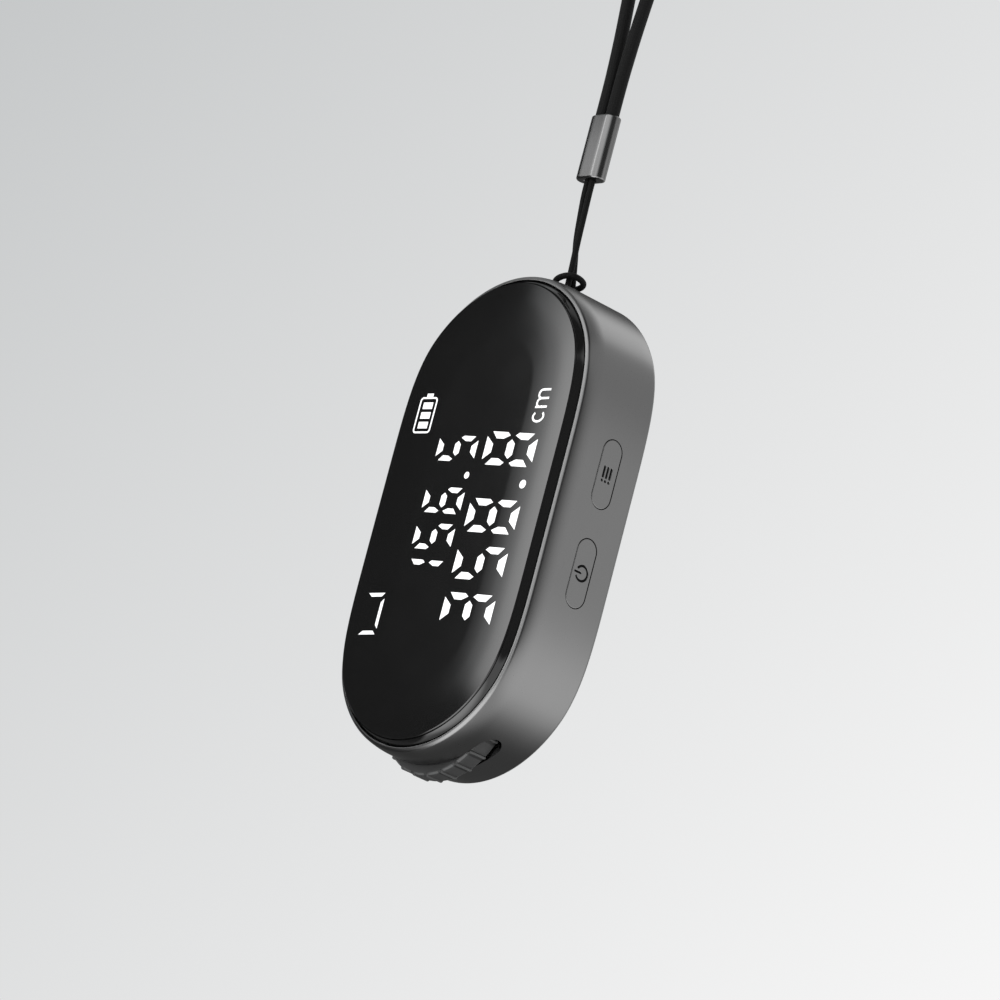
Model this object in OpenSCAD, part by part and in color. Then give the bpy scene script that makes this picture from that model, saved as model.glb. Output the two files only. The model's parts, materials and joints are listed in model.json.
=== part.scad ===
// Pocket digital measuring ruler: a pill-shaped housing with a lit display, two side buttons,
// a measuring wheel in its lower end and a wrist strap at its upper end.
// Each piece is drawn lying on its back: x across, y along the housing towards the strap,
// z out of the display. The hung() module stands it up below the point that the strap hangs from.

/* [Housing] */
// Length of the housing, end to end
body_len = 80; // [76:1:90]
// Width of the housing
body_w = 43; // [42:0.5:48]
// Depth of the housing from its rim to its back
body_t = 15.2; // [15:0.2:18]
// Thickness of the side wall
wall = 1.4; // [1.2:0.1:1.6]
// Radius of the edge round the back
back_round = 1.6; // [0.8:0.1:1.9]
// Radius of the soft curve that draws the wall in towards the rim
crown_r = 16; // [12:1:24]
// Depth of the wall that the soft curve takes up
crown_t = 3.8; // [3:0.1:5]
// Radius of the rim's nose
rim_round = 0.55; // [0.4:0.05:0.7]
// Thickness of the back cover
cover_t = 1.3; // [1:0.1:1.5]
// Thickness of the seats that carry the lens, the cover and the chassis
seat_t = 1; // [0.8:0.1:1.2]
// Distance of the buttons, the socket and the strap behind the middle of the housing
side_drop = 1; // [0.6:0.1:1.4]

/* [Lens] */
// Height of the lens above the rim
lens_rise = 1.1; // [0.8:0.1:1.5]
// Depth of the recess that the lens sits in
lens_recess = 1.5; // [1.3:0.1:1.7]
// Thickness of the lens over the display
lens_wall = 1.4; // [1.2:0.1:1.6]
// Width of the border over which the lens curves down
lens_border = 10.3; // [6:0.1:13]
// Radius of that curve
lens_crown_r = 110; // [80:5:160]
// Radius of the lens edge
lens_edge = 0.7; // [0.4:0.1:0.9]
// Thickness of the adhesive gasket under the lens
gasket_t = 0.2; // [0.1:0.05:0.3]

/* [Buttons] */
// Length of a button
button_len = 11.2; // [9:0.2:12]
// Width of a button
button_w = 4; // [3.4:0.1:4.6]
// Distance of the menu button above the middle of the housing
menu_up = 8.7; // [7.5:0.1:10]
// Distance of the power button below the middle of the housing
power_down = 7.6; // [6.5:0.1:8]
// Travel of a button
button_travel = 0.3; // [0.2:0.05:0.4]

/* [Wheel] */
// Diameter of the wheel over its ribs
wheel_d = 27.4; // [25:0.2:28]
// Width of the tread
wheel_w = 3.3; // [2.8:0.1:3.4]
// Distance that the wheel stands out of the housing
wheel_out = 1.8; // [1:0.1:2.4]
// Number of ribs on the tread
rib_count = 26; // [15:1:30]
// Width of a rib
rib_w = 0.5; // [0.3:0.05:0.7]
// Height of a rib
rib_h = 0.25; // [0.15:0.05:0.4]
// Thickness of the tyre under its ribs
tyre_t = 2; // [1.5:0.1:2.5]
// Diameter of the axle
axle_d = 2; // [1.6:0.1:2.2]
// Gap between the wheel and each side of the slot that it looks out of
slot_gap = 0.4; // [0.3:0.05:0.6]

/* [Inside] */
// Thickness of the circuit boards
board_t = 0.8; // [0.6:0.1:1]
// Thickness of the chassis plate
chassis_t = 1; // [0.8:0.1:1.2]
// Radius of the chassis posts
post_r = 1.4; // [1.2:0.1:1.6]
// Radius of the screw shanks
screw_r = 0.6; // [0.4:0.05:0.7]
// Thickness of the bridge that carries the axle
bridge_t = 0.9; // [0.7:0.1:1]
// Thickness of the battery
battery_t = 4.6; // [3.5:0.1:5]
// Height of the light wells above the board
well_h = 2.2; // [2:0.1:2.3]
// Width of the charging socket
socket_w = 8.9; // [8.5:0.1:9.2]
// Height of the charging socket
socket_h = 3.2; // [3:0.1:3.4]
// Depth of the charging socket
socket_d = 7.3; // [6.5:0.1:7.6]

/* [Display] */
// Height of the large figures
large_h = 11.9; // [10:0.1:12]
// Width of the large figures
large_w = 5.6; // [5:0.1:6]
// Height of the small figures
small_h = 9.1; // [7:0.1:9.2]
// Width of the small figures
small_w = 4.4; // [4:0.1:4.8]
// Width of a lit bar
bar_w = 1; // [0.7:0.1:1.1]

/* [Strap] */
// Diameter of the thin cord
cord_d = 1; // [0.8:0.05:1.05]
// Length of thin cord between the housing and the ferrule
cord_len = 19; // [19:0.5:24]
// Length of the ferrule
ferrule_len = 11; // [8:0.5:14]
// Width of the ferrule
ferrule_w = 5.6; // [5.4:0.1:7]
// Thickness of the ferrule
ferrule_t = 2.9; // [2.8:0.1:3.6]
// Diameter of the strap
strap_d = 2.2; // [1.8:0.1:2.3]

/* [Hidden] */
$fn = 96;

// Clearances: pieces glued or screwed together, pieces pressed together, a turning shaft and
// a button in its hole; then how far a cut runs past a face
fit_gap = 0.1;
press_gap = 0.01;
shaft_gap = 0.03;
button_gap = 0.15;
past = 1;

// Housing
end_r = body_w / 2;
spine = body_len / 2 - end_r;
front_z = body_t / 2;
back_z = -body_t / 2;
side_z = -side_drop;
inner_r = end_r - wall;
crown_z = front_z - crown_t;
nose_z = front_z - rim_round;
rim_bead = 0.04;
nose_x = end_r - crown_r + sqrt(pow(crown_r - rim_round, 2) - pow(crown_t - rim_round, 2)) + rim_bead;
crown_top = crown_z + crown_r * (nose_z - crown_z) / (crown_r - rim_round);
rim_land = 0.09;
lens_hole_r = nose_x - rim_land;
lens_seat_z = front_z - lens_recess;
lens_seat_w = 1.25;
front_hole_r = lens_hole_r - lens_seat_w;
back_land = 0.5;
cover_hole_r = end_r - back_round - back_land;
cover_r = cover_hole_r - fit_gap;
cover_top = back_z + cover_t;
chassis_z = cover_top + seat_t;
chassis_r = front_hole_r - 2 * fit_gap;
chassis_top = chassis_z + chassis_t;
chassis_seat_w = 1.9;
seat_hole_r = chassis_r - chassis_seat_w;

// Lens
lens_gap = 0.12;
lens_r = lens_hole_r - lens_gap;
lens_bottom = lens_seat_z + gasket_t;
lens_top = front_z + lens_rise;
lens_flat_r = lens_r - lens_border;
lens_crown_z = lens_top - lens_crown_r;
lens_nose_r = lens_r - lens_edge;
lens_reach = lens_nose_r - lens_flat_r;
lens_nose_z = lens_crown_z + sqrt(pow(lens_crown_r - lens_edge, 2) - pow(lens_reach, 2));
lens_crown_end = lens_flat_r + lens_reach * lens_crown_r / (lens_crown_r - lens_edge);
lens_skirt = 1.1;
lens_hollow_r = lens_r - lens_skirt;

// Display and main board
board_edge_gap = 0.6;
board_r = front_hole_r - board_edge_gap;
film_t = 0.2;
film_gap = 0.5;
well_top = lens_top - lens_wall - film_t - film_gap;
board_top = well_top - well_h;
board_z = board_top - board_t;
display_x = -0.4;
display_w = 32.4;
display_y = -0.6;
display_len = 42.4;
display_corner = 2;
figure_lean = 0.07;
bar_gap = 0.15;
large_base = 14.8;
small_base = 0.65;
large_starts = [-20.2, -12.45, -4.7, 6.4];
small_starts = [-13.05, -7.05, -1, 7.65];
point_r = 0.7;
points_at = [[14.05, 3.7], [0.15, 5.5]];
icon_w = 3.9;
icon_x = -13.7;
icon_len = 6.6;
battery_icon_y = 16.2;
bracket_y = -17.4;
unit_at = [13.5, 16.8];
unit_size = [2.8, 5.8];
led_size = [0.6, 0.5, 0.4];
chip_places = [[0, 8], [-8, 19], [8, 20], [-7.5, 2]];
chip_sizes = [[6, 6, 0.9], [4, 5, 1], [3, 3, 0.9], [3, 4, 1.2]];

// Wheel and what carries it
wheel_r = wheel_d / 2;
wheel_y = -body_len / 2 - wheel_out + wheel_r;
wheel_sink = -wheel_y - spine;
wall_drop = (pow(inner_r, 2) - pow(wheel_r, 2) + pow(wheel_sink, 2)) / (2 * wheel_sink);
slot_end_gap = 1.1;
slot_len = 2 * (sqrt(pow(inner_r, 2) - pow(wall_drop, 2)) + slot_end_gap);
slot_w = wheel_w + 2 * slot_gap;
axle_r = axle_d / 2;
tread_r = wheel_r - rib_h;
hub_r = tread_r - tyre_t;
tread_chamfer = 0.3;
rib_turn = 3.8;
hub_rim = 1.8;
web_t = 1.4;
boss_r = 3;
boss_half = 1.4;
hub_hole_r = 1.8;
hub_holes = 6;
hub_hole_shift = 0.9;
hub_hole_orbit = (boss_r + hub_r - hub_rim) / 2 + hub_hole_shift;
magnet_in_r = boss_r + fit_gap;
magnet_w = 1.3;
magnet_t = 0.8;
bush_flange_t = 0.5;
bush_side_gap = 0.15;
bush_wall = 0.8;
bush_r = axle_r + bush_wall;
bush_flange_r = bush_r + bush_wall;
bridge_z = boss_half + bush_side_gap + bush_flange_t;
bridge_top = bridge_z + bridge_t;
bush_len = 2;
bush_seat_wall = 1.4;
bush_seat_r = bush_r + bush_seat_wall;
arm_w = 3.6;
bridge_ring_w = 1;
eye_lip = 0.3;
bridge_post_gap = 1.4;
bridge_orbit = wheel_r + post_r + bridge_post_gap;
bridge_angles = [-55, 0, 55];
bridge_posts = [for (a = bridge_angles) [bridge_orbit * sin(a), wheel_y + bridge_orbit * cos(a)]];
sensor_board_size = [8, 6, board_t];
sensor_size = [2, 1.4, 1];
sensor_shift = 0.4;
axle_tail = 0.35;
axle_end = bush_len + bridge_z + axle_tail;

// Main board posts, screws and battery bay
// All the posts stand at the edge of the board, the lower ones beside the wheel
post_edge = 1.28;
post_orbit = board_r - post_edge;
lower_post_gap = 1.2;
wheel_orbit = wheel_r + post_r + lower_post_gap;
lower_drop = (pow(post_orbit, 2) - pow(wheel_orbit, 2) + pow(wheel_sink, 2)) / (2 * wheel_sink);
lower_post_x = sqrt(pow(post_orbit, 2) - pow(lower_drop, 2));
lower_post_y = -spine - lower_drop;
upper_post_angle = 45;
upper_post_x = post_orbit * cos(upper_post_angle);
upper_post_y = spine + post_orbit * sin(upper_post_angle);
board_posts = [
    [lower_post_x, lower_post_y], [-lower_post_x, lower_post_y],
    [upper_post_x, upper_post_y], [-upper_post_x, upper_post_y]
];
head_lip = 0.5;
head_r = screw_r + head_lip;
head_t = 0.6;
low_head_t = 0.35;
thread_depth = 2.5;

// Buttons and their switches
menu_y = menu_up;
power_y = -power_down;
flange_lip = 0.5;
flange_t = 0.55;
flange_clear = 0.2;
flange_x = inner_r - flange_clear - flange_t;
switch_t = 1.2;
switch_w = 3.6;
switch_h = 3;
plunger_r = 0.8;
plunger_in = 0.2;
plunger_out = 0.5;
stem_r = 1.2;
stem_len = 0.45;
switch_face = flange_x - stem_len - plunger_out;
switch_board_x = switch_face - switch_t - board_t;
switch_board_end = 2;
switch_board_y0 = power_y - button_len / 2 - switch_board_end / 2;
switch_board_y1 = menu_y + button_len / 2 + switch_board_end / 2;
rail_w = 1;
rail_h = 2;

// Chassis screws, just past the ends of the button board and along the edge of the chassis
chassis_screw_edge = 1.05;
chassis_screw_gap = 0.6;
chassis_screw_orbit = chassis_r - chassis_screw_edge;
chassis_screw_reach = rail_h / 2 + head_r + chassis_screw_gap;
chassis_screw_places = [
    for (y = [switch_board_y0 - chassis_screw_reach, switch_board_y1 + chassis_screw_reach], side = [-1, 1])
        [side * sqrt(pow(chassis_screw_orbit, 2) - pow(max(0, abs(y) - spine), 2)), y]
];

// Charging socket
socket_in = 0.6;
socket_x = -end_r + socket_in;
socket_y = power_y;
socket_wall = 0.3;
charge_board_top = side_z - socket_h / 2;
charge_board_w = socket_w + 2;
charge_board_in = 1.7;
charge_board_len = socket_d - charge_board_in;
tongue_w = 6.7;
tongue_t = 0.7;
tongue_len = 4.5;

// Battery bay, between the socket, the button board and the posts
bay_gap = 0.8;
tape_t = 0.2;
tape_inset = 2;
battery_x0 = socket_x + socket_d + bay_gap;
battery_x1 = switch_board_x - 3 * bay_gap;
battery_y0 = wheel_y + bridge_orbit + post_r + bay_gap;
battery_y1 = upper_post_y - post_r - bay_gap;
battery_round = 1;

// Strap anchor
pocket_len = 4.8;
pocket_w = 2.5;
pocket_depth = 4.6;
anchor_w = 8.4;
anchor_t = 4.8;
anchor_floor = 1.2;
pin_d = 1.2;
pin_depth = 1.6;
pin_at = [0, body_len / 2 - pin_depth];
pin_len = 4.2;

// Strap: the points of the thin cord count from the top of the housing on the strap's own plane,
// and those of the loop from the top of the ferrule
strap_lead = 0.5;
strap_z = side_z + strap_lead;
end_depth = 2;
ferrule_round = 0.35;
ferrule_y = body_len / 2 + cord_len;
ferrule_top = ferrule_y + ferrule_len;
cord_pitch = 1.1;
strap_pitch = 2.4;
loop_len = 59.6;
hang_drop = ferrule_top + loop_len - strap_d / 2;
hitch_front = [
    [0.55, 0, 0.5], [0.55, -4, 0.5], [0.8, -8, 0.6], [1, -12, 0.65], [1.2, -15.5, 0.65],
    [1.3, -18.5, 0.6], [1.3, -20.5, 0.55]
];
hitch_turn = [
    [1.3, -1.8], [1.2, -2.35], [0.85, -2.8], [0.3, -3.05], [-0.3, -3.05], [-0.85, -2.8],
    [-1.2, -2.35], [-1.3, -1.8], [-1.3, -0.6], [-1.3, 0.5]
];
hitch_ring = [
    [-1.25, 1.05, 0.8], [-0.9, 1.4, 1.25], [-0.1, 1.5, 1.6], [1, 1.5, 1.75], [2, 1.5, 1.55],
    [2.75, 1.5, 0.95], [3, 1.5, 0]
];
hitch_back = [
    [1.3, -20.5, -0.55], [1.1, -18.5, -0.5], [0.7, -15.5, -0.35], [0.2, -12, -0.05],
    [-0.2, -8, 0.2], [-0.55, -4, 0.5], [-0.55, 0, 0.5]
];
loop_side = [
    [1.2, 0], [1.2, 3], [1.25, 6.5], [1.4, 10], [1.65, 14], [2, 18], [2.5, 23], [3.1, 28],
    [3.8, 34], [4.5, 40], [5.1, 46], [5.5, 50.5], [5.6, 54], [4.85, 56.8], [2.8, 58.85]
];

// Standing the pieces up below the hanging point
module hung() {
    translate([0, 0, -hang_drop]) rotate([90, 0, 0]) children();
}

// Outlines
module pill2d(r) {
    square([2 * r, 2 * spine], center = true);
    for (s = [-1, 1]) translate([0, s * spine]) circle(r);
}

module slot2d(len, w) {
    square([len - w, w], center = true);
    for (s = [-1, 1]) translate([s * (len - w) / 2, 0]) circle(w / 2);
}

module round_box2d(w, len, r) {
    square([w - 2 * r, len], center = true);
    square([w, len - 2 * r], center = true);
    for (i = [-1, 1], j = [-1, 1]) translate([i * (w / 2 - r), j * (len / 2 - r)]) circle(r);
}

module arm2d(from, to, w, eye_r) {
    run = to - from;
    translate(from) rotate(atan2(run[1], run[0])) translate([0, -w / 2]) square([norm(run), w]);
    translate(to) circle(eye_r);
}

// Solids that repeat
module pill_plate(r, z, t) {
    translate([0, 0, z]) linear_extrude(t) pill2d(r);
}

module pill_turn(half) {
    for (a = [0, 180]) rotate(a) translate([0, half, 0]) {
        rotate_extrude(angle = 180) children();
        rotate([90, 0, 0]) linear_extrude(2 * half) children();
    }
}

module side_pill(x, y, len, w, t) {
    translate([x, y, side_z]) rotate([90, 0, 90]) linear_extrude(t) slot2d(len, w);
}

module post(at, r, from, to) {
    translate([at[0], at[1], from]) cylinder(r = r, h = to - from);
}

module box_at(centre, size, z) {
    translate([centre[0] - size[0] / 2, centre[1] - size[1] / 2, z]) cube(size);
}

module screws(places, tip, seat, head) {
    for (p = places) {
        post(p, screw_r, tip, seat);
        difference() {
            post(p, head_r, seat, seat + head);
            box_at(p, [2 * screw_r, screw_r / 2, head], seat + head / 2);
        }
    }
}

// Tubes swept along a list of points, with a frame carried from ring to ring
function unit(v) = v / norm(v);
function headings(p) = [for (i = [0:len(p) - 1]) unit(p[min(i + 1, len(p) - 1)] - p[max(i - 1, 0)])];
function square_to(n, t) = unit(n - (n * t) * t);
function carried(t, n0) = [
    for (i = 0, n = square_to(n0, t[0]); i < len(t);
        i = i + 1, n = square_to(n, t[min(i, len(t) - 1)])) n
];
function mirrored(p) = [for (i = [len(p) - 2:-1:0]) [-p[i][0], p[i][1]]];

module tube(p, d, n0) {
    sides = 8;
    t = headings(p);
    n = carried(t, n0);
    rings = [
        for (i = [0:len(p) - 1], k = [0:sides - 1])
            p[i] + d / 2 * (cos(360 * k / sides) * n[i] + sin(360 * k / sides) * cross(t[i], n[i]))
    ];
    skin = [
        for (i = [0:len(p) - 2], k = [0:sides - 1], half = [0, 1])
            let (a = i * sides + k, b = i * sides + (k + 1) % sides)
            half == 0 ? [a, a + sides, b + sides] : [a, b + sides, b]
    ];
    last = (len(p) - 1) * sides;
    caps = [
        for (k = [1:sides - 2], end = [0, 1])
            end == 0 ? [0, k, k + 1] : [last, last + k + 1, last + k]
    ];
    polyhedron(rings, concat(skin, caps), convexity = 8);
}

// The wall ring of the housing
module frame_profile() {
    difference() {
        union() {
            translate([seat_hole_r, back_z + back_round])
                square([end_r - seat_hole_r, crown_z - back_z - back_round]);
            translate([seat_hole_r, back_z]) square([end_r - back_round - seat_hole_r, back_round]);
            translate([end_r - back_round, back_z + back_round]) circle(back_round);
            translate([seat_hole_r, crown_z]) square([nose_x - seat_hole_r, front_z - crown_z]);
            intersection() {
                translate([end_r - crown_r, crown_z]) circle(crown_r);
                translate([seat_hole_r, crown_z]) square([end_r - seat_hole_r, crown_top - crown_z]);
            }
            translate([nose_x, nose_z]) circle(rim_round);
        }
        translate([0, lens_seat_z]) square([lens_hole_r, lens_recess + past]);
        translate([0, chassis_z]) square([front_hole_r, body_t]);
        translate([0, chassis_z]) square([inner_r, lens_seat_z - seat_t - chassis_z]);
        translate([0, back_z - past]) square([cover_hole_r, cover_t + past]);
    }
}

module strap_anchor() {
    top = body_len / 2 - wall / 2;
    floor_y = body_len / 2 - pocket_depth - anchor_floor;
    translate([-anchor_w / 2, floor_y, side_z - anchor_t / 2]) cube([anchor_w, top - floor_y, anchor_t]);
}

module anchor_pocket() {
    translate([0, body_len / 2 - pocket_depth, side_z]) rotate([-90, 0, 0])
        linear_extrude(pocket_depth + past) slot2d(pocket_len, pocket_w);
    post(pin_at, pin_d / 2 + press_gap, side_z - pin_len / 2, side_z + pin_len / 2);
}

module side_frame() {
    cut_t = wall + 2 * past;
    color("dimgray") difference() {
        union() {
            pill_turn(spine) frame_profile();
            strap_anchor();
        }
        translate([0, -spine, 0]) rotate([90, 0, 0])
            linear_extrude(end_r + past) slot2d(slot_len, slot_w);
        for (y = [menu_y, power_y])
            side_pill(inner_r - past, y, button_len + 2 * button_gap, button_w + 2 * button_gap, cut_t);
        side_pill(-end_r - past, socket_y, socket_w + 4 * fit_gap, socket_h + 4 * fit_gap, cut_t);
        anchor_pocket();
        for (p = chassis_screw_places) post(p, screw_r + press_gap, cover_top - past, chassis_z + past);
    }
}

module back_cover() {
    color("dimgray") pill_plate(cover_r, back_z, cover_t);
}

// The domed window
module lens_profile() {
    difference() {
        union() {
            translate([0, lens_bottom]) square([lens_flat_r, lens_top - lens_bottom]);
            translate([0, lens_bottom]) square([lens_r, lens_nose_z - lens_bottom]);
            intersection() {
                translate([lens_flat_r, lens_crown_z]) circle(lens_crown_r, $fn = 720);
                translate([lens_flat_r, lens_nose_z]) square([lens_crown_end - lens_flat_r, lens_rise]);
            }
            translate([lens_nose_r, lens_nose_z]) circle(lens_edge);
        }
        translate([0, lens_bottom - past])
            square([lens_hollow_r, lens_top - lens_wall - lens_bottom + past]);
    }
}

module front_lens() {
    color("black") pill_turn(spine) lens_profile();
}

module lens_gasket() {
    color("darkslategray") difference() {
        pill_plate(lens_r - fit_gap, lens_seat_z, gasket_t);
        pill_plate(front_hole_r + fit_gap, lens_seat_z - past, gasket_t + 2 * past);
    }
}

// Side buttons with the flange that keeps them in and the stem that presses the switch
module side_button(y) {
    side_pill(flange_x, y, button_len, button_w, end_r - flange_x);
    side_pill(flange_x, y, button_len + 2 * flange_lip, button_w + 2 * flange_lip, flange_t);
    translate([flange_x - stem_len, y, side_z]) rotate([0, 90, 0]) cylinder(r = stem_r, h = stem_len);
}

module side_plunger(y) {
    translate([switch_face - plunger_in, y, side_z]) rotate([0, 90, 0])
        cylinder(r = plunger_r, h = plunger_in + plunger_out);
}

module menu_button() {
    color("dimgray") side_button(menu_y);
}

module power_button() {
    color("dimgray") side_button(power_y);
}

module menu_plunger() {
    color("white") side_plunger(menu_y);
}

module power_plunger() {
    color("white") side_plunger(power_y);
}

// Measuring wheel
module wheel_tyre() {
    half = wheel_w / 2;
    color("black") translate([0, wheel_y, 0]) {
        rotate_extrude() polygon([
            [hub_r + press_gap, -half], [tread_r - tread_chamfer, -half], [tread_r, tread_chamfer - half],
            [tread_r, half - tread_chamfer], [tread_r - tread_chamfer, half], [hub_r + press_gap, half]
        ]);
        for (i = [0:rib_count - 1]) rotate(360 * i / rib_count + rib_turn - 90)
            translate([tread_r - 2 * tread_chamfer, -rib_w / 2, -half])
                cube([rib_h + 2 * tread_chamfer, rib_w, wheel_w]);
    }
}

module wheel_hub() {
    color("gray") translate([0, wheel_y, 0]) difference() {
        union() {
            translate([0, 0, -boss_half]) cylinder(r = boss_r, h = 2 * boss_half);
            translate([0, 0, -web_t / 2]) cylinder(r = hub_r - hub_rim / 2, h = web_t);
            difference() {
                translate([0, 0, -wheel_w / 2]) cylinder(r = hub_r, h = wheel_w);
                translate([0, 0, -wheel_w]) cylinder(r = hub_r - hub_rim, h = 2 * wheel_w);
            }
        }
        translate([0, 0, -wheel_w]) cylinder(r = axle_r + press_gap, h = 2 * wheel_w);
        for (i = [0:hub_holes - 1]) rotate(360 * i / hub_holes)
            translate([hub_hole_orbit, 0, -wheel_w]) cylinder(r = hub_hole_r, h = 2 * wheel_w);
    }
}

module wheel_axle() {
    color("silver") post([0, wheel_y], axle_r, -axle_end, bridge_top);
}

module encoder_magnet() {
    color("darkslategray") translate([0, wheel_y, -web_t / 2 - magnet_t]) difference() {
        cylinder(r = magnet_in_r + magnet_w, h = magnet_t);
        translate([0, 0, -past]) cylinder(r = magnet_in_r, h = magnet_t + 2 * past);
    }
}

// Flanged bushes: the flange faces the wheel, the sleeve goes through what carries it
module bush(sleeve) {
    translate([0, wheel_y, bridge_z - bush_flange_t]) difference() {
        union() {
            cylinder(r = bush_flange_r, h = bush_flange_t);
            cylinder(r = bush_r, h = bush_flange_t + sleeve);
        }
        translate([0, 0, -past]) cylinder(r = axle_r + shaft_gap, h = bush_flange_t + sleeve + 2 * past);
    }
}

module front_bush() {
    color("goldenrod") bush(bridge_t);
}

module back_bush() {
    color("goldenrod") mirror([0, 0, 1]) bush(bush_len);
}

module bearing_bridge() {
    color("lightgray") translate([0, 0, bridge_z]) difference() {
        linear_extrude(bridge_t) {
            translate([0, wheel_y]) circle(bush_flange_r + bridge_ring_w);
            for (p = bridge_posts) arm2d([0, wheel_y], p, arm_w, arm_w / 2 + eye_lip);
        }
        post([0, wheel_y], bush_r + press_gap, -past, bridge_t + past);
        for (p = bridge_posts) post(p, screw_r + fit_gap, -past, bridge_t + past);
    }
}

module bridge_screws() {
    color("silver") screws(bridge_posts, bridge_z - thread_depth, bridge_top, low_head_t);
}

// The plate that carries everything inside
module chassis_posts() {
    for (p = board_posts) post(p, post_r, chassis_z, board_z);
    for (p = bridge_posts) post(p, post_r, chassis_z, bridge_z);
    post([0, wheel_y], bush_seat_r, chassis_z, -bridge_z);
    box_at([socket_x + charge_board_in + charge_board_len / 2, socket_y], [
        charge_board_len, charge_board_w, charge_board_top - board_t - chassis_z
    ], chassis_z);
    for (y = [switch_board_y0, switch_board_y1], side = [-1, 1])
        box_at([switch_board_x + board_t / 2 + side * (board_t + rail_w + 2 * fit_gap) / 2, y],
            [rail_w, rail_h, chassis_t + rail_h], chassis_z);
}

module chassis() {
    color("darkgray") difference() {
        union() {
            pill_plate(chassis_r, chassis_z, chassis_t);
            chassis_posts();
        }
        for (p = board_posts) post(p, screw_r + press_gap, board_z - thread_depth, board_z + past);
        for (p = bridge_posts) post(p, screw_r + press_gap, bridge_z - thread_depth, bridge_z + past);
        for (p = chassis_screw_places) post(p, screw_r + fit_gap, chassis_z - past, chassis_top + past);
        post([0, wheel_y], bush_r + press_gap, -bridge_z - bush_len, -bridge_z + past);
        post([0, wheel_y], axle_r + fit_gap, -axle_end - fit_gap, -bridge_z);
    }
}

module chassis_screws() {
    color("silver") screws(chassis_screw_places, cover_top + fit_gap, chassis_top, head_t);
}

// Wheel sensor beside the axle
module sensor_board() {
    y0 = wheel_y + bush_seat_r + fit_gap;
    color("darkgreen") box_at([0, y0 + sensor_board_size[1] / 2], sensor_board_size, chassis_top);
}

module hall_sensor() {
    y = wheel_y + magnet_in_r + magnet_w / 2 + sensor_shift;
    color("black") box_at([0, y], sensor_size, chassis_top + board_t);
}

// Main board and display
module main_board() {
    color("darkgreen") difference() {
        pill_plate(board_r, board_z, board_t);
        for (p = board_posts) post(p, screw_r + fit_gap, board_z - past, board_top + past);
    }
}

module board_chips() {
    color("black") for (i = [0:len(chip_places) - 1])
        box_at(chip_places[i], chip_sizes[i], board_z - chip_sizes[i][2]);
}

module board_screws() {
    color("silver") screws(board_posts, board_z - thread_depth + fit_gap, board_top, head_t);
}

function lean(p) = [for (q = p) [q[0] + figure_lean * q[1], q[1]]];
function flat_bar(w, v) = [
    [bar_w / 2 + bar_gap, v], [bar_w + bar_gap, v + bar_w / 2], [w - bar_w - bar_gap, v + bar_w / 2],
    [w - bar_w / 2 - bar_gap, v], [w - bar_w - bar_gap, v - bar_w / 2], [bar_w + bar_gap, v - bar_w / 2]
];
function tall_bar(u, v0, v1) = [
    [u, v0 + bar_gap], [u + bar_w / 2, v0 + bar_w / 2 + bar_gap],
    [u + bar_w / 2, v1 - bar_w / 2 - bar_gap], [u, v1 - bar_gap],
    [u - bar_w / 2, v1 - bar_w / 2 - bar_gap], [u - bar_w / 2, v0 + bar_w / 2 + bar_gap]
];
function figure_bars(w, h) = [
    for (v = [bar_w / 2, h / 2, h - bar_w / 2]) lean(flat_bar(w, v)),
    for (u = [bar_w / 2, w - bar_w / 2], half = [0, 1])
        lean(tall_bar(u, half == 0 ? bar_w / 2 : h / 2, half == 0 ? h / 2 : h - bar_w / 2))
];
function middle(p) = [for (axis = [0, 1]) (max([for (q = p) q[axis]]) + min([for (q = p) q[axis]])) / 2];

// Rows of figures read along the housing, with their heads towards the left side
module figure_row(base, starts, w, h, leds) {
    for (start = starts, bar = figure_bars(w, h)) translate([base, start]) rotate(90) {
        if (leds) translate(middle(bar)) square([led_size[0], led_size[1]], center = true);
        else polygon(bar);
    }
}

module lit_shapes(leds) {
    figure_row(large_base, large_starts, large_w, large_h, leds);
    figure_row(small_base, small_starts, small_w, small_h, leds);
    for (p = points_at) translate(p) {
        if (leds) square([led_size[0], led_size[1]], center = true);
        else circle(point_r);
    }
    translate([icon_x, battery_icon_y]) square(leds ? led_size[0] : [icon_w, icon_len], center = true);
    translate(unit_at) square(leds ? led_size[0] : unit_size, center = true);
    translate([icon_x + (icon_w - bar_w) / 2, bracket_y])
        square(leds ? led_size[0] : [bar_w, icon_len - 2 * bar_w - 2 * bar_gap], center = true);
    for (s = [-1, 1]) translate([icon_x, bracket_y + s * (icon_len - bar_w) / 2])
        square(leds ? led_size[0] : [icon_w, bar_w], center = true);
}

module led_chips() {
    color("lightyellow") translate([0, 0, board_top]) linear_extrude(led_size[2]) lit_shapes(true);
}

module segment_reflector() {
    color("white") translate([0, 0, board_top]) linear_extrude(well_h) difference() {
        translate([display_x, display_y]) round_box2d(display_w, display_len, display_corner);
        lit_shapes(false);
        for (p = board_posts) translate(p) circle(head_r + fit_gap);
    }
}

module diffuser_film() {
    color("gainsboro") translate([display_x, display_y, well_top])
        linear_extrude(film_t) round_box2d(display_w, display_len, display_corner);
}

// Power
module battery_block(z, t, inset) {
    w = battery_x1 - battery_x0 - 2 * inset;
    len = battery_y1 - battery_y0 - 2 * inset;
    translate([(battery_x0 + battery_x1) / 2, (battery_y0 + battery_y1) / 2, z])
        linear_extrude(t) round_box2d(w, len, battery_round);
}

module battery() {
    color("silver") battery_block(chassis_top + tape_t, battery_t, 0);
}

module battery_tape() {
    color("khaki") battery_block(chassis_top, tape_t, tape_inset);
}

module button_board() {
    color("darkgreen") translate([switch_board_x, switch_board_y0, chassis_top])
        cube([board_t, switch_board_y1 - switch_board_y0, board_z - chassis_top - fit_gap]);
}

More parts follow.
